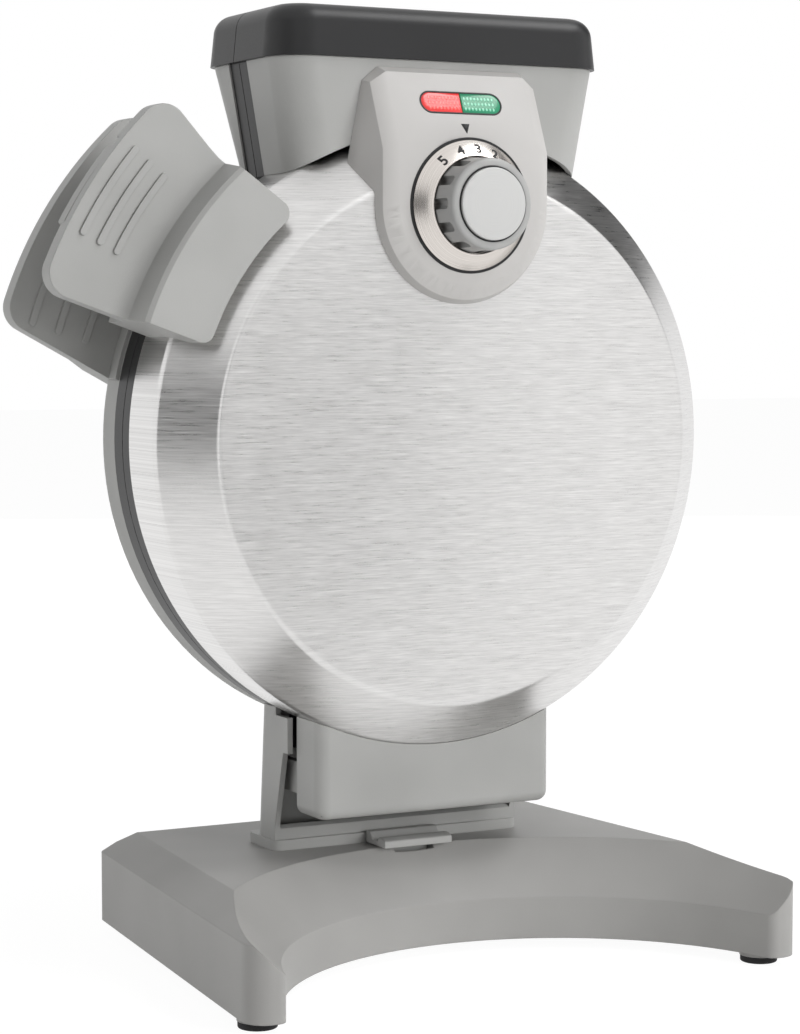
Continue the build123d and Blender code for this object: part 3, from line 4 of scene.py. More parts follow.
import bmesh
import bpy
import numpy as np
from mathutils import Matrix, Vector

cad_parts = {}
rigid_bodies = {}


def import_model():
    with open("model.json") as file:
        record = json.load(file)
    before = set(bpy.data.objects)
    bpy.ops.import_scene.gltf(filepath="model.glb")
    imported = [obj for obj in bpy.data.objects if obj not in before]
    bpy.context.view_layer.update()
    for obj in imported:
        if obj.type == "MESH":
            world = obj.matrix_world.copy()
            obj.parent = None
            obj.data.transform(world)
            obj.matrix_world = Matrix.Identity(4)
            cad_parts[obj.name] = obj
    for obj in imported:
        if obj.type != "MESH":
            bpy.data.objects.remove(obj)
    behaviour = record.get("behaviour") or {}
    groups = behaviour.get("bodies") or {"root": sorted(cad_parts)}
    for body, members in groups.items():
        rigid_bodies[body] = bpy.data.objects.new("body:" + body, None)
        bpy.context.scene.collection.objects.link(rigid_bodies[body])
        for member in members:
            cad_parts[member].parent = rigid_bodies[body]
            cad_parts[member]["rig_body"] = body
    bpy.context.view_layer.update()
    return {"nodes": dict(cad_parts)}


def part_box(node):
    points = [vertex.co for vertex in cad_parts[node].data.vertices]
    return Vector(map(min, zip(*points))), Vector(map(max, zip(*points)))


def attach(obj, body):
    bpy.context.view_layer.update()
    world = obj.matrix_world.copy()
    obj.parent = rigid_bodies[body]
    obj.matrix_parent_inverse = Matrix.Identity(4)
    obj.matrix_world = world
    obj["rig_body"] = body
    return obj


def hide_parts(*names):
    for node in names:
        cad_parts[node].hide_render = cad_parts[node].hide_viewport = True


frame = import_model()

# Vertical waffle maker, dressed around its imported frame. Metres, +Z up, the lid and dial face -Y.
# Lengths in the plans and looks are in millimetres, and in metres for the studio. Angles are in degrees.
nodes = frame["nodes"]
mm = 0.001
partingGap = 0.2  # from the front liner's face to the parting plane
weldReach = 0.005  # points of a CAD mesh closer than this are one
seamReach = 0.002  # points of a new mesh closer than this are one
sliverLength = 0.001  # edges shorter than this are dissolved

shellLow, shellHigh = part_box("front_shell")
discX = (shellLow.x + shellHigh.x) / 2  # middle of the steel disc
discZ = (shellLow.z + shellHigh.z) / 2
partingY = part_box("front_liner")[1].y + partingGap * mm  # plane where the two halves meet
dialLow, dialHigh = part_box("dial_ring")
dialZ = (dialLow.z + dialHigh.z) / 2
dialRise = dialZ - discZ


# Colours and material nodes

def hexColour(text):
    channels = np.array([int(text[i:i + 2], 16) / 255 for i in (1, 3, 5)])
    linear = np.where(channels <= 0.04045, channels / 12.92, ((channels + 0.055) / 1.055) ** 2.4)
    return (*linear.tolist(), 1.0)


def addNode(tree, kind, inputs=None, **settings):
    node = tree.nodes.new(kind)
    for name, value in settings.items():
        setattr(node, name, value)
    for name, value in (inputs or {}).items():
        if isinstance(value, bpy.types.NodeSocket):
            tree.links.new(value, node.inputs[name])
        else:
            node.inputs[name].default_value = value
    return node


def newMaterial(name):
    material = bpy.data.materials.new(name)
    material.use_nodes = True
    material.node_tree.nodes.clear()
    return material, material.node_tree


def blendRamp(tree, factor, low, high, spread=(0.3, 0.7)):
    ramp = addNode(tree, "ShaderNodeValToRGB", {"Fac": factor})
    ramp.color_ramp.elements[0].position, ramp.color_ramp.elements[1].position = spread
    ramp.color_ramp.elements[0].color, ramp.color_ramp.elements[1].color = low, high
    return ramp.outputs["Color"]


def closeMaterial(tree, shader):
    addNode(tree, "ShaderNodeOutputMaterial", {"Surface": shader.outputs[0]})


def fineNoise(tree, place, size, detail):
    # Noise whose grains are about size millimetres across
    return addNode(tree, "ShaderNodeTexNoise", {"Vector": place, "Scale": 1 / (size * mm), "Detail": detail})


def unevenGloss(tree, factor, roughness, below, above):
    # Roughness that wanders from a little below to a little above its middle value
    return addNode(tree, "ShaderNodeMapRange", {
        "Value": factor, "To Min": roughness - below, "To Max": roughness + above})


def linkObject(name, data):
    holder = bpy.data.objects.new(name, data)
    bpy.context.scene.collection.objects.link(holder)
    return holder


def mouldedPlastic(name, look):
    # Injection moulded ABS: a spark-eroded grain, a faint cloudiness from the melt, softened edges, and,
    # where a look asks for it, painted shade in narrow hollows
    material, tree = newMaterial(name)
    place = addNode(tree, "ShaderNodeTexCoord").outputs["Object"]
    cloud = fineNoise(tree, place, look["cloud"], 2.0)
    grain = fineNoise(tree, place, look["grain"], 3.0)
    colour = blendRamp(tree, cloud.outputs["Fac"], hexColour(look["dark"]), hexColour(look["light"]))
    if "paintedShade" in look:  # painted shade: narrow hollows are darkened towards this colour
        hollow = addNode(tree, "ShaderNodeAmbientOcclusion", {
            "Distance": look["paintedShadeReach"] * mm}, samples=8)
        colour = addNode(tree, "ShaderNodeMix", {
            0: hollow.outputs["AO"], 6: hexColour(look["paintedShade"]), 7: colour}, data_type="RGBA").outputs[2]
    gloss = unevenGloss(tree, grain.outputs["Fac"], look["roughness"], 0.05, 0.07)
    edge = addNode(tree, "ShaderNodeBevel", {"Radius": look["edge"] * mm}, samples=4)
    bump = addNode(tree, "ShaderNodeBump", {
        "Height": grain.outputs["Fac"], "Strength": look["relief"], "Distance": grainDepth * mm,
        "Normal": edge.outputs[0]})
    shader = addNode(tree, "ShaderNodeBsdfPrincipled", {
        "Base Color": colour, "Roughness": gloss.outputs[0], "IOR": absIor, "Normal": bump.outputs[0],
        "Specular IOR Level": look["specular"]})
    closeMaterial(tree, shader)
    return material


absIor = 1.53
grainDepth = 0.05
greyAbsLook = {"dark": "#A0A09E", "light": "#ACACAA", "cloud": 45.0, "grain": 0.55, "roughness": 0.46,
               "relief": 0.5, "edge": 0.5, "specular": 0.5}
paleAbsLook = {"dark": "#B9B7B5", "light": "#C3C1BF", "cloud": 40.0, "grain": 0.5, "roughness": 0.44,
               "relief": 0.3, "edge": 0.35, "specular": 0.5}
baseAbsLook = {"dark": "#999896", "light": "#A4A3A1", "cloud": 60.0, "grain": 0.6, "roughness": 0.5,
               "relief": 0.5, "edge": 0.8, "specular": 0.45}
charcoalAbsLook = {"dark": "#1B1B1C", "light": "#222223", "cloud": 60.0, "grain": 0.7, "roughness": 0.38,
                   "relief": 0.12, "edge": 0.5, "specular": 0.35}
# The knob's flutes are darkened with painted shade in their hollows
knobAbsLook = {"dark": "#A2A2A1", "light": "#AEAEAD", "cloud": 20.0, "grain": 0.4, "roughness": 0.3,
               "relief": 0.15, "edge": 0.2, "specular": 0.5, "paintedShade": "#454544", "paintedShadeReach": 5.0}


def brushedSteel(name, look):
    # Stainless sheet brushed along X: short level streaks that catch the light, and a highlight drawn
    # out across them
    material, tree = newMaterial(name)
    place = addNode(tree, "ShaderNodeTexCoord").outputs["Object"]
    streaks = []
    for length, width in look["streaks"]:
        stretch = addNode(tree, "ShaderNodeMapping", {
            "Vector": place, "Scale": (1 / (length * mm), 0.0, 1 / (width * mm))})
        streaks.append(addNode(tree, "ShaderNodeTexNoise", {
            "Vector": stretch.outputs[0], "Scale": 1.0, "Detail": 3.0, "Roughness": 0.6, "Distortion": 0.15}))
    mixed = addNode(tree, "ShaderNodeMix", {
        0: look["fineShare"], 2: streaks[0].outputs["Fac"], 3: streaks[1].outputs["Fac"]}, data_type="FLOAT")
    dark, light = hexColour(look["dark"]), hexColour(look["light"])
    colour = blendRamp(tree, mixed.outputs[0], dark, light, look["spread"])
    gloss = addNode(tree, "ShaderNodeMapRange", {
        "Value": mixed.outputs[0], "From Min": 0.3, "From Max": 0.7,
        "To Min": look["roughness"] - 0.06, "To Max": look["roughness"] + 0.08})
    bump = addNode(tree, "ShaderNodeBump", {
        "Height": mixed.outputs[0], "Strength": look["relief"], "Distance": scratchDepth * mm})
    along = addNode(tree, "ShaderNodeTangent", direction_type="RADIAL", axis="Z")
    shader = addNode(tree, "ShaderNodeBsdfPrincipled", {
        "Base Color": colour, "Metallic": 1.0, "Roughness": gloss.outputs[0],
        "Anisotropic": look["anisotropy"], "Anisotropic Rotation": quarterTurn,
        "Tangent": along.outputs[0], "Normal": bump.outputs[0]})
    closeMaterial(tree, shader)
    return material


scratchDepth = 0.02
quarterTurn = 0.25
dishSteelLook = {"dark": "#CFCECD", "light": "#ECEBEA", "streaks": ((9.0, 0.45), (26.0, 0.8)),
                 "fineShare": 0.45, "spread": (0.36, 0.64), "roughness": 0.3, "relief": 0.12,
                 "anisotropy": 0.6}


def turnedMetal(name, look):
    # Metal finished on a lathe: rings about the dial's axis and a fan-shaped highlight
    material, tree = newMaterial(name)
    place = addNode(tree, "ShaderNodeTexCoord").outputs["Object"]
    centred = addNode(tree, "ShaderNodeVectorMath", {0: place, 1: (discX, 0.0, dialZ)}, operation="SUBTRACT")
    flat = addNode(tree, "ShaderNodeVectorMath", {
        0: centred.outputs[0], 1: (1.0, 0.0, 1.0)}, operation="MULTIPLY")
    reach = addNode(tree, "ShaderNodeVectorMath", {0: flat.outputs[0]}, operation="LENGTH")
    rings = addNode(tree, "ShaderNodeTexNoise", {
        "W": reach.outputs["Value"], "Scale": 1 / (look["ring"] * mm), "Detail": 3.0}, noise_dimensions="1D")
    colour = blendRamp(tree, rings.outputs["Fac"], hexColour(look["dark"]), hexColour(look["light"]))
    bump = addNode(tree, "ShaderNodeBump", {
        "Height": rings.outputs["Fac"], "Strength": look["relief"], "Distance": scratchDepth * mm})
    around = addNode(tree, "ShaderNodeVectorMath", {
        0: (0.0, 1.0, 0.0), 1: flat.outputs[0]}, operation="CROSS_PRODUCT")
    along = addNode(tree, "ShaderNodeVectorMath", {0: around.outputs[0]}, operation="NORMALIZE")
    shader = addNode(tree, "ShaderNodeBsdfPrincipled", {
        "Base Color": colour, "Metallic": look["metal"], "Roughness": look["roughness"],
        "Anisotropic": look["anisotropy"], "Tangent": along.outputs[0], "Normal": bump.outputs[0]})
    closeMaterial(tree, shader)
    return material


dialMetalLook = {"dark": "#CFC8C2", "light": "#E4DFDA", "ring": 0.25, "relief": 0.15, "metal": 1.0,
                 "roughness": 0.26, "anisotropy": 0.75}
capLacquerLook = {"dark": "#C4C4C3", "light": "#CBCBCA", "ring": 0.3, "relief": 0.05, "metal": 0.25,
                  "roughness": 0.5, "anisotropy": 0.0}


def castMetal(name, look):
    # Cast, pressed or drawn metal inside the maker: a fine tooth left by casting, coating or plating
    material, tree = newMaterial(name)
    place = addNode(tree, "ShaderNodeTexCoord").outputs["Object"]
    tooth = fineNoise(tree, place, look["tooth"], 4.0)
    stain = fineNoise(tree, place, stainSize, 2.0)
    colour = blendRamp(tree, stain.outputs["Fac"], hexColour(look["dark"]), hexColour(look["light"]))
    gloss = unevenGloss(tree, tooth.outputs["Fac"], look["roughness"], 0.06, 0.08)
    bump = addNode(tree, "ShaderNodeBump", {
        "Height": tooth.outputs["Fac"], "Strength": look["relief"], "Distance": toothDepth * mm})
    shader = addNode(tree, "ShaderNodeBsdfPrincipled", {
        "Base Color": colour, "Metallic": look["metal"], "Roughness": gloss.outputs[0],
        "Normal": bump.outputs[0]})
    closeMaterial(tree, shader)
    return material


stainSize = 30.0
toothDepth = 0.04
castLooks = {
    "nonStickCoating": {"dark": "#2B2B2C", "light": "#343435", "tooth": 0.5, "roughness": 0.4,
                        "relief": 0.4, "metal": 0.2},
    "heaterOxide": {"dark": "#3A3836", "light": "#4B4845", "tooth": 0.6, "roughness": 0.5,
                    "relief": 0.3, "metal": 0.7},
    "pressedAluminium": {"dark": "#B9B9BB", "light": "#CECED0", "tooth": 0.8, "roughness": 0.35,
                         "relief": 0.2, "metal": 1.0},
    "zincPlating": {"dark": "#B2B3B3", "light": "#C9C9C6", "tooth": 0.5, "roughness": 0.3,
                    "relief": 0.2, "metal": 1.0},
    "mouldedRubber": {"dark": "#19191A", "light": "#212122", "tooth": 0.4, "roughness": 0.8,
                      "relief": 0.6, "metal": 0.0},
    "solderMask": {"dark": "#1E5B36", "light": "#27693F", "tooth": 0.5, "roughness": 0.4,
                   "relief": 0.1, "metal": 0.0},
    "dialInk": {"dark": "#1A1A1B", "light": "#1F1F20", "tooth": 0.2, "roughness": 0.55,
                "relief": 0.1, "metal": 0.0},
}


def dottedLens(name, look):
    # Dyed clear plastic with rows of small raised dots behind a polished face, and a faint painted glow in
    # its own colour
    material, tree = newMaterial(name)
    place = addNode(tree, "ShaderNodeTexCoord").outputs["Object"]
    local = addNode(tree, "ShaderNodeMapping", {
        "Vector": place, "Location": windowCentre, "Rotation": (podLean, 0.0, 0.0),
        "Scale": (look["pitch"] * mm, 1.0, look["pitch"] * mm)}, vector_type="TEXTURE")
    cell = addNode(tree, "ShaderNodeVectorMath", {0: local.outputs[0], 1: (0.5, 0.0, 0.5)}, operation="ADD")
    cell = addNode(tree, "ShaderNodeVectorMath", {0: cell.outputs[0]}, operation="FRACTION")
    cell = addNode(tree, "ShaderNodeVectorMath", {
        0: cell.outputs[0], 1: (0.5, 0.0, 0.5)}, operation="SUBTRACT")
    cell = addNode(tree, "ShaderNodeVectorMath", {
        0: cell.outputs[0], 1: (1.0, 0.0, 1.0)}, operation="MULTIPLY")
    reach = addNode(tree, "ShaderNodeVectorMath", {0: cell.outputs[0]}, operation="LENGTH")
    dot = addNode(tree, "ShaderNodeMapRange", {
        "Value": reach.outputs["Value"], "From Min": look["dot"], "From Max": look["dot"] - look["blur"]})
    parts = addNode(tree, "ShaderNodeSeparateXYZ", {0: local.outputs[0]})
    rise = addNode(tree, "ShaderNodeMath", {0: parts.outputs["Z"]}, operation="ABSOLUTE")
    row = addNode(tree, "ShaderNodeMath", {0: rise.outputs[0], 1: look["rows"] / 2}, operation="LESS_THAN")
    run = addNode(tree, "ShaderNodeMath", {0: parts.outputs["X"]}, operation="ABSOLUTE")
    ends = addNode(tree, "ShaderNodeMath", {
        0: run.outputs[0], 1: look["columns"] + 0.5}, operation="LESS_THAN")
    start = addNode(tree, "ShaderNodeMath", {0: run.outputs[0], 1: 0.5}, operation="GREATER_THAN")
    mask = dot.outputs[0]
    for gate in (row, ends, start):
        mask = addNode(tree, "ShaderNodeMath", {0: mask, 1: gate.outputs[0]}, operation="MULTIPLY").outputs[0]
    colour = addNode(tree, "ShaderNodeMix", {
        0: mask, 6: hexColour(look["body"]), 7: hexColour(look["dots"])}, data_type="RGBA")
    bump = addNode(tree, "ShaderNodeBump", {
        "Height": mask, "Strength": look["relief"], "Distance": look["dotHeight"] * mm})
    shader = addNode(tree, "ShaderNodeBsdfPrincipled", {
        "Base Color": colour.outputs[2], "Roughness": look["roughness"], "IOR": look["ior"],
        "Normal": bump.outputs[0], "Coat Weight": look["coat"], "Coat Roughness": look["coatRoughness"],
        "Emission Color": hexColour(look["body"]), "Emission Strength": look["paintedGlow"]})
    closeMaterial(tree, shader)
    return material


# The lens's emission is a painted glow in its body colour: no lamp lights it from behind
lensLook = {"pitch": 1.45, "dot": 0.36, "blur": 0.16, "columns": 9, "rows": 3, "relief": 0.6,
            "dotHeight": 0.15, "roughness": 0.22, "ior": 1.58, "coat": 0.25, "coatRoughness": 0.08,
            "paintedGlow": 0.12}
redLensLook = {"body": "#DB2B2A", "dots": "#F06A64", **lensLook}
greenLensLook = {"body": "#00835A", "dots": "#8FDCBC", **lensLook}


# Mesh helpers

def discPoints(x, up, depth):
    # Millimetres about the disc's axis turned into places: x to the right, up, and depth forwards
    x, up, depth = np.broadcast_arrays(x, up, depth)
    return np.stack([discX + x * mm, partingY - depth * mm, discZ + up * mm], axis=-1)


def gridMesh(name, points, closeAlong=False):
    # points[i, j]: i runs along the profile and j all the way round. Each face joins four neighbours.
    rows, columns = points.shape[:2]
    i = np.arange(rows if closeAlong else rows - 1)[:, None]
    j = np.arange(columns)[None, :]
    nextI, nextJ = (i + 1) % rows, (j + 1) % columns
    faces = np.stack([i * columns + j, i * columns + nextJ, nextI * columns + nextJ, nextI * columns + j], -1)
    mesh = bpy.data.meshes.new(name)
    mesh.from_pydata(points.reshape(-1, 3).tolist(), [], faces.reshape(-1, 4).tolist())
    return mesh


def finishPiece(mesh, name, material, body, replaced=(), sharp=30.0):
    # Closes seams and poles, turns the faces outwards and hands the piece to its body
    work = bmesh.new()
    work.from_mesh(mesh)
    bmesh.ops.remove_doubles(work, verts=work.verts, dist=seamReach * mm)
    bmesh.ops.dissolve_degenerate(work, edges=work.edges, dist=sliverLength * mm)
    bmesh.ops.recalc_face_normals(work, faces=work.faces)
    work.to_mesh(mesh)
    work.free()
    mesh.shade_smooth()
    mesh.set_sharp_from_angle(angle=math.radians(sharp))
    mesh.materials.clear()
    mesh.materials.append(material)
    piece = linkObject(name, mesh)
    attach(piece, body)
    if replaced:
        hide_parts(*replaced)
    return piece


def roundedProfile(corners, steps=8):
    # (radius, depth, rounding) corners: each rounding is an arc tangent to both runs, found from
    # the half angle between them
    count = len(corners)
    line = []
    for k, (x, y, rounding) in enumerate(corners):
        here = np.array([x, y])
        if not rounding:
            line.append(here)
            continue
        before = np.array(corners[k - 1][:2]) - here
        after = np.array(corners[(k + 1) % count][:2]) - here
        before, after = before / np.linalg.norm(before), after / np.linalg.norm(after)
        half = math.acos(np.clip(before @ after, -1, 1)) / 2
        middle = here + (before + after) / np.linalg.norm(before + after) * rounding / math.sin(half)
        start = here + before * rounding / math.tan(half) - middle
        end = here + after * rounding / math.tan(half) - middle
        angle = math.acos(np.clip(start @ end / rounding ** 2, -1, 1))
        share = np.linspace(0, 1, steps)[:, None]
        arc = (np.sin((1 - share) * angle) * start + np.sin(share * angle) * end) / math.sin(angle)
        line.extend(middle + arc)
    return np.array(line)


def turnedPoints(profile, rise=0.0, around=256):
    # Each (radius, depth) of the profile carried round the axis
    angle = np.linspace(0, 2 * math.pi, around, endpoint=False)[None, :]
    radius, depth = profile[:, 0:1], profile[:, 1:2]
    return discPoints(radius * np.cos(angle), rise / mm + radius * np.sin(angle), depth + 0 * angle)


# Camera at the photograph's view, solved from the disc's edges, the dial and the feet

cameraPlan = {"focal": 2711.41, "frameHeight": 1034, "sensor": 36.0,
              "place": (-480.8, -915.6, 238.6), "aim": (0.3, -0.1, 163.76)}


def makeCamera(plan):
    camera = bpy.data.cameras.new("photoCamera")
    camera.sensor_width = plan["sensor"]
    camera.lens = plan["focal"] / plan["frameHeight"] * plan["sensor"]
    shared = Vector((discX, partingY, 0.0))
    place = shared + Vector(plan["place"]) * mm
    aim = shared + Vector(plan["aim"]) * mm
    holder = linkObject("photoCamera", camera)
    holder.location = place
    holder.rotation_mode = "QUATERNION"
    holder.rotation_quaternion = (aim - place).to_track_quat("-Z", "Y")
    bpy.context.scene.camera = holder


makeCamera(cameraPlan)
print("camera ready")

# Shared places on the control pod

bezelLow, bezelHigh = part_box("window_bezel")
podLeanDegrees = 23.0  # how far the pod's upper face leans back
podLean = math.radians(podLeanDegrees)
windowPlan = {"halfLength": 16.3, "halfHeight": 3.85, "proud": 0.3, "deep": 2.4, "seam": 0.12,
              "bezelProud": 0.15, "core": 1.2, "arcSteps": 48, "rings": 16, "bulgePower": 6}
faceUp = Vector((0.0, math.sin(podLean), math.cos(podLean)))  # up the leaning face
faceOut = Vector((0.0, -math.cos(podLean), math.sin(podLean)))  # out of the leaning face
bezelMiddle = (bezelLow + bezelHigh) / 2
# The bezel runs from its depth behind the leaning face to a little before it
windowCentre = bezelMiddle + faceOut * (windowPlan["deep"] / 2 - windowPlan["bezelProud"] / 2) * mm

greyAbs = mouldedPlastic("mouldedGreyAbs", greyAbsLook)
paleAbs = mouldedPlastic("mouldedPaleAbs", paleAbsLook)
baseAbs = mouldedPlastic("mouldedBaseAbs", baseAbsLook)
charcoalAbs = mouldedPlastic("mouldedCharcoalAbs", charcoalAbsLook)
knobAbs = mouldedPlastic("mouldedKnobAbs", knobAbsLook)
dishSteel = brushedSteel("brushedStainlessSheet", dishSteelLook)
dialMetal = turnedMetal("turnedChampagneAluminium", dialMetalLook)
capLacquer = turnedMetal("silverLacqueredCap", capLacquerLook)
castMetals = {name: castMetal(name, look) for name, look in castLooks.items()}
redLens = dottedLens("dyedRedPolycarbonate", redLensLook)
greenLens = dottedLens("dyedGreenPolycarbonate", greenLensLook)
print("materials ready")


# Frame nodes that keep their CAD mesh

def smoothingNodes(angle):
    # Welds the loose triangles, shades them smooth and keeps edges over the angle crisp
    group = bpy.data.node_groups.new("weldAndSmooth", "GeometryNodeTree")
    group.interface.new_socket("Geometry", in_out="INPUT", socket_type="NodeSocketGeometry")
    group.interface.new_socket("Geometry", in_out="OUTPUT", socket_type="NodeSocketGeometry")
    entry = addNode(group, "NodeGroupInput")
    weld = addNode(group, "GeometryNodeMergeByDistance", {
        "Geometry": entry.outputs[0], "Distance": weldReach * mm})
    smooth = addNode(group, "GeometryNodeSetShadeSmooth", {"Geometry": weld.outputs[0]}, domain="FACE")
    edge = addNode(group, "GeometryNodeInputMeshEdgeAngle")
    crisp = addNode(group, "FunctionNodeCompare", {0: edge.outputs["Unsigned Angle"], 1: math.radians(angle)},
                    data_type="FLOAT", operation="GREATER_THAN")
    sharpen = addNode(group, "GeometryNodeSetShadeSmooth", {
        "Geometry": smooth.outputs[0], "Selection": crisp.outputs[0], "Shade Smooth": False}, domain="EDGE")
    addNode(group, "NodeGroupOutput", {0: sharpen.outputs[0]})
    return group


def dressNode(name, material, group):
    node = nodes[name]
    if not node.material_slots:
        node.data.materials.append(material)
    for place in node.material_slots:
        place.material = material
    weld = node.modifiers.new("weldAndSmooth", "NODES")
    weld.node_group = group
    weigh = node.modifiers.new("weighNormals", "WEIGHTED_NORMAL")
    weigh.keep_sharp = True


def softenedCopy(name, piece, material, width, plan):
    # A welded copy of a CAD node whose flat faces are joined and whose hard edges are rounded over
    node = nodes[name]
    mesh = node.data.copy()
    work = bmesh.new()
    work.from_mesh(mesh)
    bmesh.ops.remove_doubles(work, verts=work.verts, dist=weldReach * mm)
    flat = math.radians(plan["flat"])
    bmesh.ops.dissolve_limit(work, angle_limit=flat, verts=work.verts, edges=work.edges)
    work.to_mesh(mesh)
    work.free()
    rough = linkObject(piece + "Rough", mesh)
    soften = rough.modifiers.new("soften", "BEVEL")
    soften.width = width * mm
    soften.segments = plan["segments"]
    soften.limit_method = "ANGLE"
    soften.angle_limit = math.radians(plan["edge"])
    soften.miter_outer = "MITER_ARC"
    final = bpy.data.meshes.new_from_object(rough.evaluated_get(bpy.context.evaluated_depsgraph_get()))
    bpy.data.objects.remove(rough)
    final.shade_smooth()
    final.set_sharp_from_angle(angle=math.radians(plan["crease"]))
    final.materials.clear()
    final.materials.append(material)
    holder = linkObject(piece, final)
    weigh = holder.modifiers.new("weighNormals", "WEIGHTED_NORMAL")
    weigh.keep_sharp = True
    body = node["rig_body"]
    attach(holder, body)
    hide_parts(name)


nodeMaterials = {
    "greyAbs": ("neck", "release_tab", "rear_shell", "rear_spout_housing", "front_spout_housing",
                "front_grip", "rear_grip", "hinge_block", "latch_trigger", "knob"),
    "paleAbs": ("control_pod",),
    "baseAbs": ("base_cover", "bottom_plate"),
    "charcoalAbs": ("rear_liner", "front_liner", "rear_spout_funnel", "front_spout_funnel",
                    "rear_spout_cap", "front_spout_cap", "cord_gland", "terminal_block", "window_bezel",
                    "knob_trim", "hinge_arm"),
    "nonStickCoating": ("rear_waffle_plate", "front_waffle_plate"),
    "heaterOxide": ("rear_heating_element", "front_heating_element"),
    "pressedAluminium": ("rear_reflector", "front_reflector", "rear_element_clips", "front_element_clips"),
    "mouldedRubber": ("rubber_feet",),
    "solderMask": ("indicator_board",),
}
plainMaterials = {"greyAbs": greyAbs, "paleAbs": paleAbs, "baseAbs": baseAbs,
                  "charcoalAbs": charcoalAbs, **castMetals}
crispAngle = 28.0  # an edge that turns by more degrees stays sharp

weldGroup = smoothingNodes(crispAngle)
dressed = {}
for key, names in nodeMaterials.items():
    dressed.update({name: plainMaterials[key] for name in names})
for name in nodes:
    dressNode(name, dressed.get(name, castMetals["zincPlating"]), weldGroup)
print("frame nodes dressed")


# Steel dish of the lid

dishPlan = {"rim": 114.0, "face": 96.6, "near": 7.9, "side": 31.2, "front": 48.7, "soft": 4.0, "wall": 1.0,
            "hem": 0.35, "bevel": 45.0}


def makeSteelDish(plan):
    # Outside: side, 45 degree bevel and flat face. The inside follows one wall further in.
    share = math.tan(math.radians(plan["bevel"] / 2))
    wall = plan["wall"]
    outside = roundedProfile([
        (0.0, plan["near"], 0.0),
        (plan["rim"], plan["near"], plan["hem"]),
        (plan["rim"], plan["side"], plan["soft"]),
        (plan["face"], plan["front"], plan["soft"]),
        (0.0, plan["front"], 0.0)], steps=12)[1:]
    inside = roundedProfile([
        (0.0, plan["near"], 0.0),
        (plan["rim"] - wall, plan["near"], plan["hem"]),
        (plan["rim"] - wall, plan["side"] - share * wall, plan["soft"] - wall),
        (plan["face"] - share * wall, plan["front"] - wall, plan["soft"] - wall),
        (0.0, plan["front"] - wall, 0.0)], steps=12)[1:]
    profile = np.concatenate([outside[::-1], inside])
    mesh = gridMesh("steelDish", turnedPoints(profile, around=320))
    return finishPiece(mesh, "steelDish", dishSteel, "lid", ("front_shell",))


makeSteelDish(dishPlan)
print("steel dish ready")

# Knob, its cap and the number ring

knobPlan = {"back": 56.2, "front": 71.8, "backRadius": 17.3, "frontRadius": 16.3, "soft": 1.4,
            "seat": 70.0, "seatRadius": 13.5, "flutes": 12, "fluteRadius": 1.9, "fluteRing": 16.8,
            "fluteEnd": 68.6, "blend": 0.25, "seatRound": 0.15, "lipRound": 0.3, "rows": 90,
            "columnsPerFlute": 36}


def makeKnob(plan):
    # A cone whose side is cut by round flutes: where a flute's circle, which shrinks to nothing at its
    # rounded front end, lies inside the cone, the surface follows the circle's near side. A smooth
    # minimum rounds the flute's edges.
    around = plan["flutes"] * plan["columnsPerFlute"]
    side = np.linspace(plan["back"], plan["front"], plan["rows"])
    angle = np.linspace(0, 2 * math.pi, around, endpoint=False)[None, :]
    depth = side[:, None]
    share = (depth - plan["back"]) / (plan["front"] - plan["back"])
    cone = plan["backRadius"] + share * (plan["frontRadius"] - plan["backRadius"])
    into = np.clip(depth - (plan["front"] - plan["soft"]), 0, plan["soft"])
    cone = cone - plan["soft"] + np.sqrt(np.maximum(plan["soft"] ** 2 - into ** 2, 0))
    pitch = 2 * math.pi / plan["flutes"]
    offAxis = (angle + pitch / 2) % pitch - pitch / 2
    fluteCentre = plan["fluteEnd"] - plan["fluteRadius"]
    reach = plan["fluteRadius"] ** 2 - np.clip(depth - fluteCentre, 0, None) ** 2
    across = (plan["fluteRing"] * np.sin(offAxis)) ** 2
    inside = reach - across
    nearSide = plan["fluteRing"] * np.cos(offAxis) - np.sqrt(np.maximum(inside, 0))
    noFlute = 99.0  # a radius far outside the cone
    flute = np.where(inside > 0, nearSide, noFlute)
    soft = plan["blend"]
    mix = np.clip(0.5 + 0.5 * (flute - cone) / soft, 0, 1)
    radius = flute * (1 - mix) + cone * mix - soft * mix * (1 - mix)
    wall = discPoints(radius * np.cos(angle), dialRise / mm + radius * np.sin(angle), depth + 0 * angle)
    inward = roundedProfile([
        (0.0, plan["back"], 0.0),
        (0.0, plan["seat"], 0.0),
        (plan["seatRadius"], plan["seat"], plan["seatRound"]),
        (plan["seatRadius"], plan["front"], plan["lipRound"]),
        (plan["frontRadius"] - plan["soft"], plan["front"], 0.0)], steps=6)
    front = turnedPoints(inward[1:][::-1], dialRise, around)
    back = turnedPoints(np.array([[0.0, plan["back"]]]), dialRise, around)
    mesh = gridMesh("flutedKnob", np.concatenate([back, wall, front]))
    return finishPiece(mesh, "flutedKnob", knobAbs, "control", ("knob",))


capPlan = {"radius": 12.95, "seat": 70.0, "front": 73.0, "soft": 0.5}
ringPlan = {"outer": 23.7, "inner": 17.45, "near": 55.7, "far": 60.7, "hub": 8.5, "thick": 0.5,
            "outerRound": 0.12, "innerRound": 0.25}


def makeKnobCap(plan):
    # Shallow disc with a rolled edge
    profile = roundedProfile([
        (0.0, plan["seat"], 0.0), (plan["radius"], plan["seat"], 0.0),
        (plan["radius"], plan["front"], plan["soft"]), (0.0, plan["front"], 0.0)], steps=8)
    mesh = gridMesh("knobCap", turnedPoints(profile, dialRise, 160))
    return finishPiece(mesh, "knobCapDisc", capLacquer, "control", ("knob_cap",))


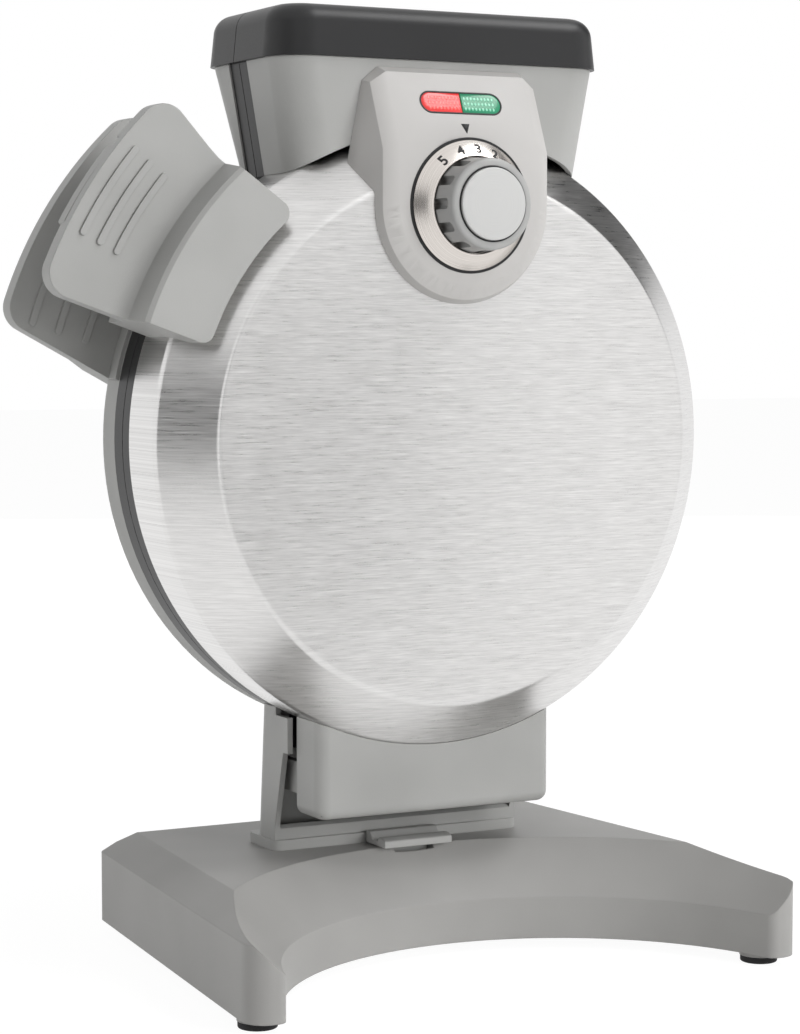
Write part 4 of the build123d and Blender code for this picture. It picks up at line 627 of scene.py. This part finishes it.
def makeDialRing(plan):
    # Cone that rises to the knob, with a rolled outer edge
    profile = roundedProfile([
        (plan["hub"], plan["near"], 0.0),
        (plan["outer"], plan["near"], plan["outerRound"]),
        (plan["inner"], plan["far"], plan["innerRound"]),
        (plan["inner"], plan["near"] + plan["thick"], 0.0),
        (plan["hub"], plan["near"] + plan["thick"], 0.0)], steps=6)
    mesh = gridMesh("numberRing", turnedPoints(profile, dialRise, 256), closeAlong=True)
    return finishPiece(mesh, "numberRing", dialMetal, "control", ("dial_ring",))


dialShadowPlan = {"inner": 22.4, "outer": 24.5, "near": 55.1, "far": 55.5, "round": 0.12}


def makeDialShadowRing(plan):
    # Dark flat ring laid into the gap between the number ring and the pod: painted shade standing in for the
    # shadow line there
    profile = roundedProfile([
        (plan["inner"], plan["near"], 0.0),
        (plan["outer"], plan["near"], 0.0),
        (plan["outer"], plan["far"], plan["round"]),
        (plan["inner"], plan["far"], plan["round"])], steps=5)
    mesh = gridMesh("paintedDialShadow", turnedPoints(profile, dialRise, 200), closeAlong=True)
    return finishPiece(mesh, "paintedDialShadow", charcoalAbs, "lid")


makeKnob(knobPlan)
makeKnobCap(capPlan)
makeDialRing(ringPlan)
makeDialShadowRing(dialShadowPlan)
print("knob and ring ready")

# Printed numbers on the ring

numberPlan = {"angles": {"5": -39.5, "4": -16.5, "3": 4.0, "2": 24.5, "1": 45.5}, "middle": 20.35,
              "size": 5.6, "proud": 0.03, "thick": 0.05, "bold": 0.028}


def printedText(text, plan):
    # A letter as a flat mesh in millimetres about its middle, cut fine enough to bend
    curve = bpy.data.curves.new("number" + text, "FONT")
    curve.body = text
    curve.size = plan["size"]
    curve.offset = plan["bold"] * plan["size"]
    curve.align_x = "CENTER"
    curve.align_y = "CENTER"
    curve.resolution_u = 8
    holder = linkObject("number" + text, curve)
    mesh = bpy.data.meshes.new_from_object(holder.evaluated_get(bpy.context.evaluated_depsgraph_get()))
    bpy.data.objects.remove(holder)
    work = bmesh.new()
    work.from_mesh(mesh)
    bmesh.ops.triangulate(work, faces=work.faces)
    bmesh.ops.subdivide_edges(work, edges=work.edges, cuts=2, use_grid_fill=True)
    work.to_mesh(mesh)
    work.free()
    return mesh


def onCone(points, angle, plan, ring, proud):
    # x becomes an arc about the dial's axis and y a run along the cone's slope
    slope = math.atan2(ring["far"] - ring["near"], ring["outer"] - ring["inner"])
    middle = (points.min(0) + points.max(0)) / 2
    across, along = points[:, 0] - middle[0], points[:, 1] - middle[1]
    radius = plan["middle"] + along * math.cos(slope)
    depth = ring["near"] + (ring["outer"] - radius) * math.tan(slope) + proud
    turn = np.radians(angle) + across / plan["middle"]
    return discPoints(radius * np.sin(turn), dialRise / mm + radius * np.cos(turn), depth)


def thickenInk(piece, plan):
    ink = piece.modifiers.new("ink", "SOLIDIFY")
    ink.thickness = plan["thick"] * mm
    ink.offset = 0.0


def makeNumber(text, angle, plan, ring):
    mesh = printedText(text, plan)
    places = np.empty(len(mesh.vertices) * 3)
    mesh.vertices.foreach_get("co", places)
    bent = onCone(places.reshape(-1, 3), angle, plan, ring, plan["proud"])
    mesh.vertices.foreach_set("co", bent.ravel())
    piece = finishPiece(mesh, "dialNumber" + text, castMetals["dialInk"], "control")
    thickenInk(piece, plan)


for text, angle in numberPlan["angles"].items():
    makeNumber(text, angle, numberPlan, ringPlan)

# Pointer printed on the leaning face

pointerPlan = {"tip": 306.0, "base": 309.6, "half": 1.75, "proud": 0.04, "thick": 0.05}


def onLeaningFace(x, height, proud):
    # The leaning face passes through the window's centre: height above the table fixes the place on it
    run = (height * mm - windowCentre.z) / faceUp.z
    return windowCentre + faceUp * run + faceOut * proud * mm + Vector((x * mm, 0.0, 0.0))


def makePointer(plan):
    outline = ((0.0, plan["tip"]), (plan["half"], plan["base"]), (-plan["half"], plan["base"]))
    corners = [onLeaningFace(x, height, plan["proud"]) for x, height in outline]
    mesh = bpy.data.meshes.new("dialPointer")
    mesh.from_pydata([tuple(corner) for corner in corners], [], [(0, 1, 2)])
    piece = finishPiece(mesh, "dialPointer", castMetals["dialInk"], "lid")
    thickenInk(piece, plan)


makePointer(pointerPlan)


# Indicator lenses

def makeLens(name, side, material, node, plan):
    # Half of a round ended window. Rings shrink from the outline to the middle line, and the surface
    # falls from its middle with the sixth power of the way out, so that its rim is rolled.
    radius = plan["halfHeight"]
    straight = plan["halfLength"] - radius
    bend = np.linspace(-math.pi / 2, math.pi / 2, plan["arcSteps"])
    rimX = np.concatenate([[plan["seam"]], straight + radius * np.cos(bend), [plan["seam"]]])
    rimY = np.concatenate([[-radius], radius * np.sin(bend), [radius]])
    coreX = np.clip(rimX, plan["core"], straight)
    coreY = 0 * rimY
    share = np.linspace(0, 1, plan["rings"])[:, None]
    x = side * (coreX + share * (rimX - coreX))
    y = coreY + share * (rimY - coreY)
    out = plan["proud"] * (1 - share ** plan["bulgePower"]) + 0 * x
    surface = [windowCentre + faceUp * (b * mm) + faceOut * (c * mm) + Vector((a * mm, 0.0, 0.0))
               for a, b, c in zip(x.ravel(), y.ravel(), out.ravel())]
    points = np.array([list(p) for p in surface]).reshape(*x.shape, 3)
    back = points[-1:] - np.array(faceOut)[None, None] * plan["deep"] * mm
    mesh = gridMesh(name, np.concatenate([points, back]))
    return finishPiece(mesh, name, material, "lid", (node,), sharp=50.0)


makeLens("redLensFace", -1, redLens, "red_lens", windowPlan)
makeLens("greenLensFace", 1, greenLens, "green_lens", windowPlan)
print("numbers, pointer and lenses ready")

# Grey mouldings with rounded edges

edgePlan = {"flat": 0.6, "edge": 30.0, "crease": 40.0, "segments": 3}  # degrees and steps of a round
softEdges = {
    "front_grip": ("frontGripMoulding", greyAbs, 1.2),
    "rear_grip": ("rearGripMoulding", greyAbs, 1.2),
    "hinge_block": ("hingeBlockMoulding", greyAbs, 0.8),
    "base_cover": ("baseMoulding", baseAbs, 1.6),
    "neck": ("neckMoulding", greyAbs, 0.6),
    "release_tab": ("releaseTabMoulding", greyAbs, 0.4),
    "control_pod": ("podMoulding", paleAbs, 0.35),
}
for name, (piece, material, width) in softEdges.items():
    softenedCopy(name, piece, material, width, edgePlan)
print("mouldings ready")


# Floor, world and lamps

def directRays(tree):
    # 1 for what the camera sees straight on, in gloss or through glass, and 0 elsewhere
    paths = addNode(tree, "ShaderNodeLightPath")
    seen = paths.outputs["Is Camera Ray"]
    for kind in ("Is Glossy Ray", "Is Transmission Ray"):
        both = {0: seen, 1: paths.outputs[kind]}
        seen = addNode(tree, "ShaderNodeMath", both, operation="MAXIMUM").outputs[0]
    return seen


def makeFloor(look):
    # Pale paper that shows as the white background to the camera and in reflections, but keeps shadows
    material, tree = newMaterial("studioPaper")
    seen = directRays(tree)
    share = addNode(tree, "ShaderNodeMath", {0: seen, 1: look["whiteShare"]}, operation="MULTIPLY")
    paper = addNode(tree, "ShaderNodeBsdfDiffuse", {"Color": hexColour(look["colour"])})
    white = addNode(tree, "ShaderNodeEmission", {"Color": (1, 1, 1, 1), "Strength": look["white"]})
    mixed = addNode(tree, "ShaderNodeMixShader", {
        0: share.outputs[0], 1: paper.outputs[0], 2: white.outputs[0]})
    closeMaterial(tree, mixed)
    half = look["halfSize"]
    mesh = bpy.data.meshes.new("studioFloor")
    corners = [(-half, -half, 0), (half, -half, 0), (half, half, 0), (-half, half, 0)]
    mesh.from_pydata(corners, [], [(0, 1, 2, 3)])
    mesh.materials.append(material)
    floor = linkObject("studioFloor", mesh)


def makeWorld(look):
    # White to the camera, to gloss and through glass. Elsewhere a studio that is dimmer overhead.
    world = bpy.data.worlds.new("studioWorld")
    bpy.context.scene.world = world
    world.use_nodes = True
    tree = world.node_tree
    tree.nodes.clear()
    seen = directRays(tree)
    direction = addNode(tree, "ShaderNodeTexCoord").outputs["Generated"]
    height = addNode(tree, "ShaderNodeSeparateXYZ", {0: direction}).outputs["Z"]
    level = addNode(tree, "ShaderNodeMapRange", {
        "Value": height, "From Min": 0.0, "From Max": 1.0,
        "To Min": look["horizon"], "To Max": look["zenith"]})
    studio = addNode(tree, "ShaderNodeBackground", {"Color": (1, 1, 1, 1), "Strength": level.outputs[0]})
    white = addNode(tree, "ShaderNodeBackground", {"Color": (1, 1, 1, 1), "Strength": 1.0})
    mixed = addNode(tree, "ShaderNodeMixShader", {0: seen, 1: studio.outputs[0], 2: white.outputs[0]})
    addNode(tree, "ShaderNodeOutputWorld", {"Surface": mixed.outputs[0]})


def makeLamp(name, look):
    lamp = bpy.data.lights.new(name, "AREA")
    lamp.shape = "RECTANGLE"
    lamp.size, lamp.size_y = look["size"]
    lamp.energy = look["power"]
    holder = linkObject(name, lamp)
    holder.location = Vector(look["place"])
    aim = Vector((discX, partingY, lampAimHeight)) - holder.location
    holder.rotation_mode = "QUATERNION"
    holder.rotation_quaternion = aim.to_track_quat("-Z", "Y")
    holder.visible_glossy = look["mirrored"]  # a fill that steel would mirror is kept out of reflections


def makeCard(name, look):
    # Grey studio card that only shows in reflections
    material, tree = newMaterial("studioCard")
    closeMaterial(tree, addNode(tree, "ShaderNodeBsdfDiffuse", {"Color": hexColour(look["colour"])}))
    place = Vector(look["place"])
    away = (Vector((discX, partingY, cardAimHeight)) - place).normalized()
    across = away.cross(Vector((0, 0, 1))).normalized()
    up = across.cross(away)
    corners = [place + across * (a * look["size"][0] / 2) + up * (b * look["size"][1] / 2)
               for a, b in ((-1, -1), (1, -1), (1, 1), (-1, 1))]
    mesh = bpy.data.meshes.new(name)
    mesh.from_pydata([tuple(c) for c in corners], [], [(0, 1, 2, 3)])
    mesh.materials.append(material)
    card = linkObject(name, mesh)
    card.visible_camera = False
    card.visible_diffuse = False
    card.visible_shadow = False


lampAimHeight = 0.17
cardAimHeight = 0.2
floorLook = {"colour": "#F4F4F3", "whiteShare": 0.86, "white": 1.1, "halfSize": 6.0}
lampPlans = {
    "keySoftbox": {"place": (0.8, -1.85, 0.55), "size": (1.0, 1.0), "power": 23.0, "mirrored": False},
    "fillSoftbox": {"place": (-1.9, 0.3, 0.6), "size": (1.0, 1.0), "power": 7.0, "mirrored": False},
    "backSoftbox": {"place": (0.9, 2.0, 0.5), "size": (1.2, 1.0), "power": 11.0, "mirrored": False},
    "edgeSoftbox": {"place": (0.75, -0.55, 1.5), "size": (0.9, 0.6), "power": 9.0, "mirrored": True},
}
worldLook = {"horizon": 0.5, "zenith": 0.12}
cardPlans = {
    "rightCard": {"place": (1.45, 0.45, 1.05), "size": (1.0, 0.95), "colour": "#4A4A4A"},
    "leftCard": {"place": (-1.55, -0.85, 0.25), "size": (1.2, 1.1), "colour": "#3A3A3A"},
    "frontCard": {"place": (-0.42, -1.55, 0.2), "size": (0.2, 1.2), "colour": "#303030"},
    "faceCard": {"place": (0.2, -1.1, 0.0), "size": (0.75, 0.5), "colour": "#A8A8A8"},
}

makeFloor(floorLook)
makeWorld(worldLook)
for name, look in lampPlans.items():
    makeLamp(name, look)
for name, look in cardPlans.items():
    makeCard(name, look)
bpy.context.scene.view_settings.view_transform = "Standard"
print("studio ready")
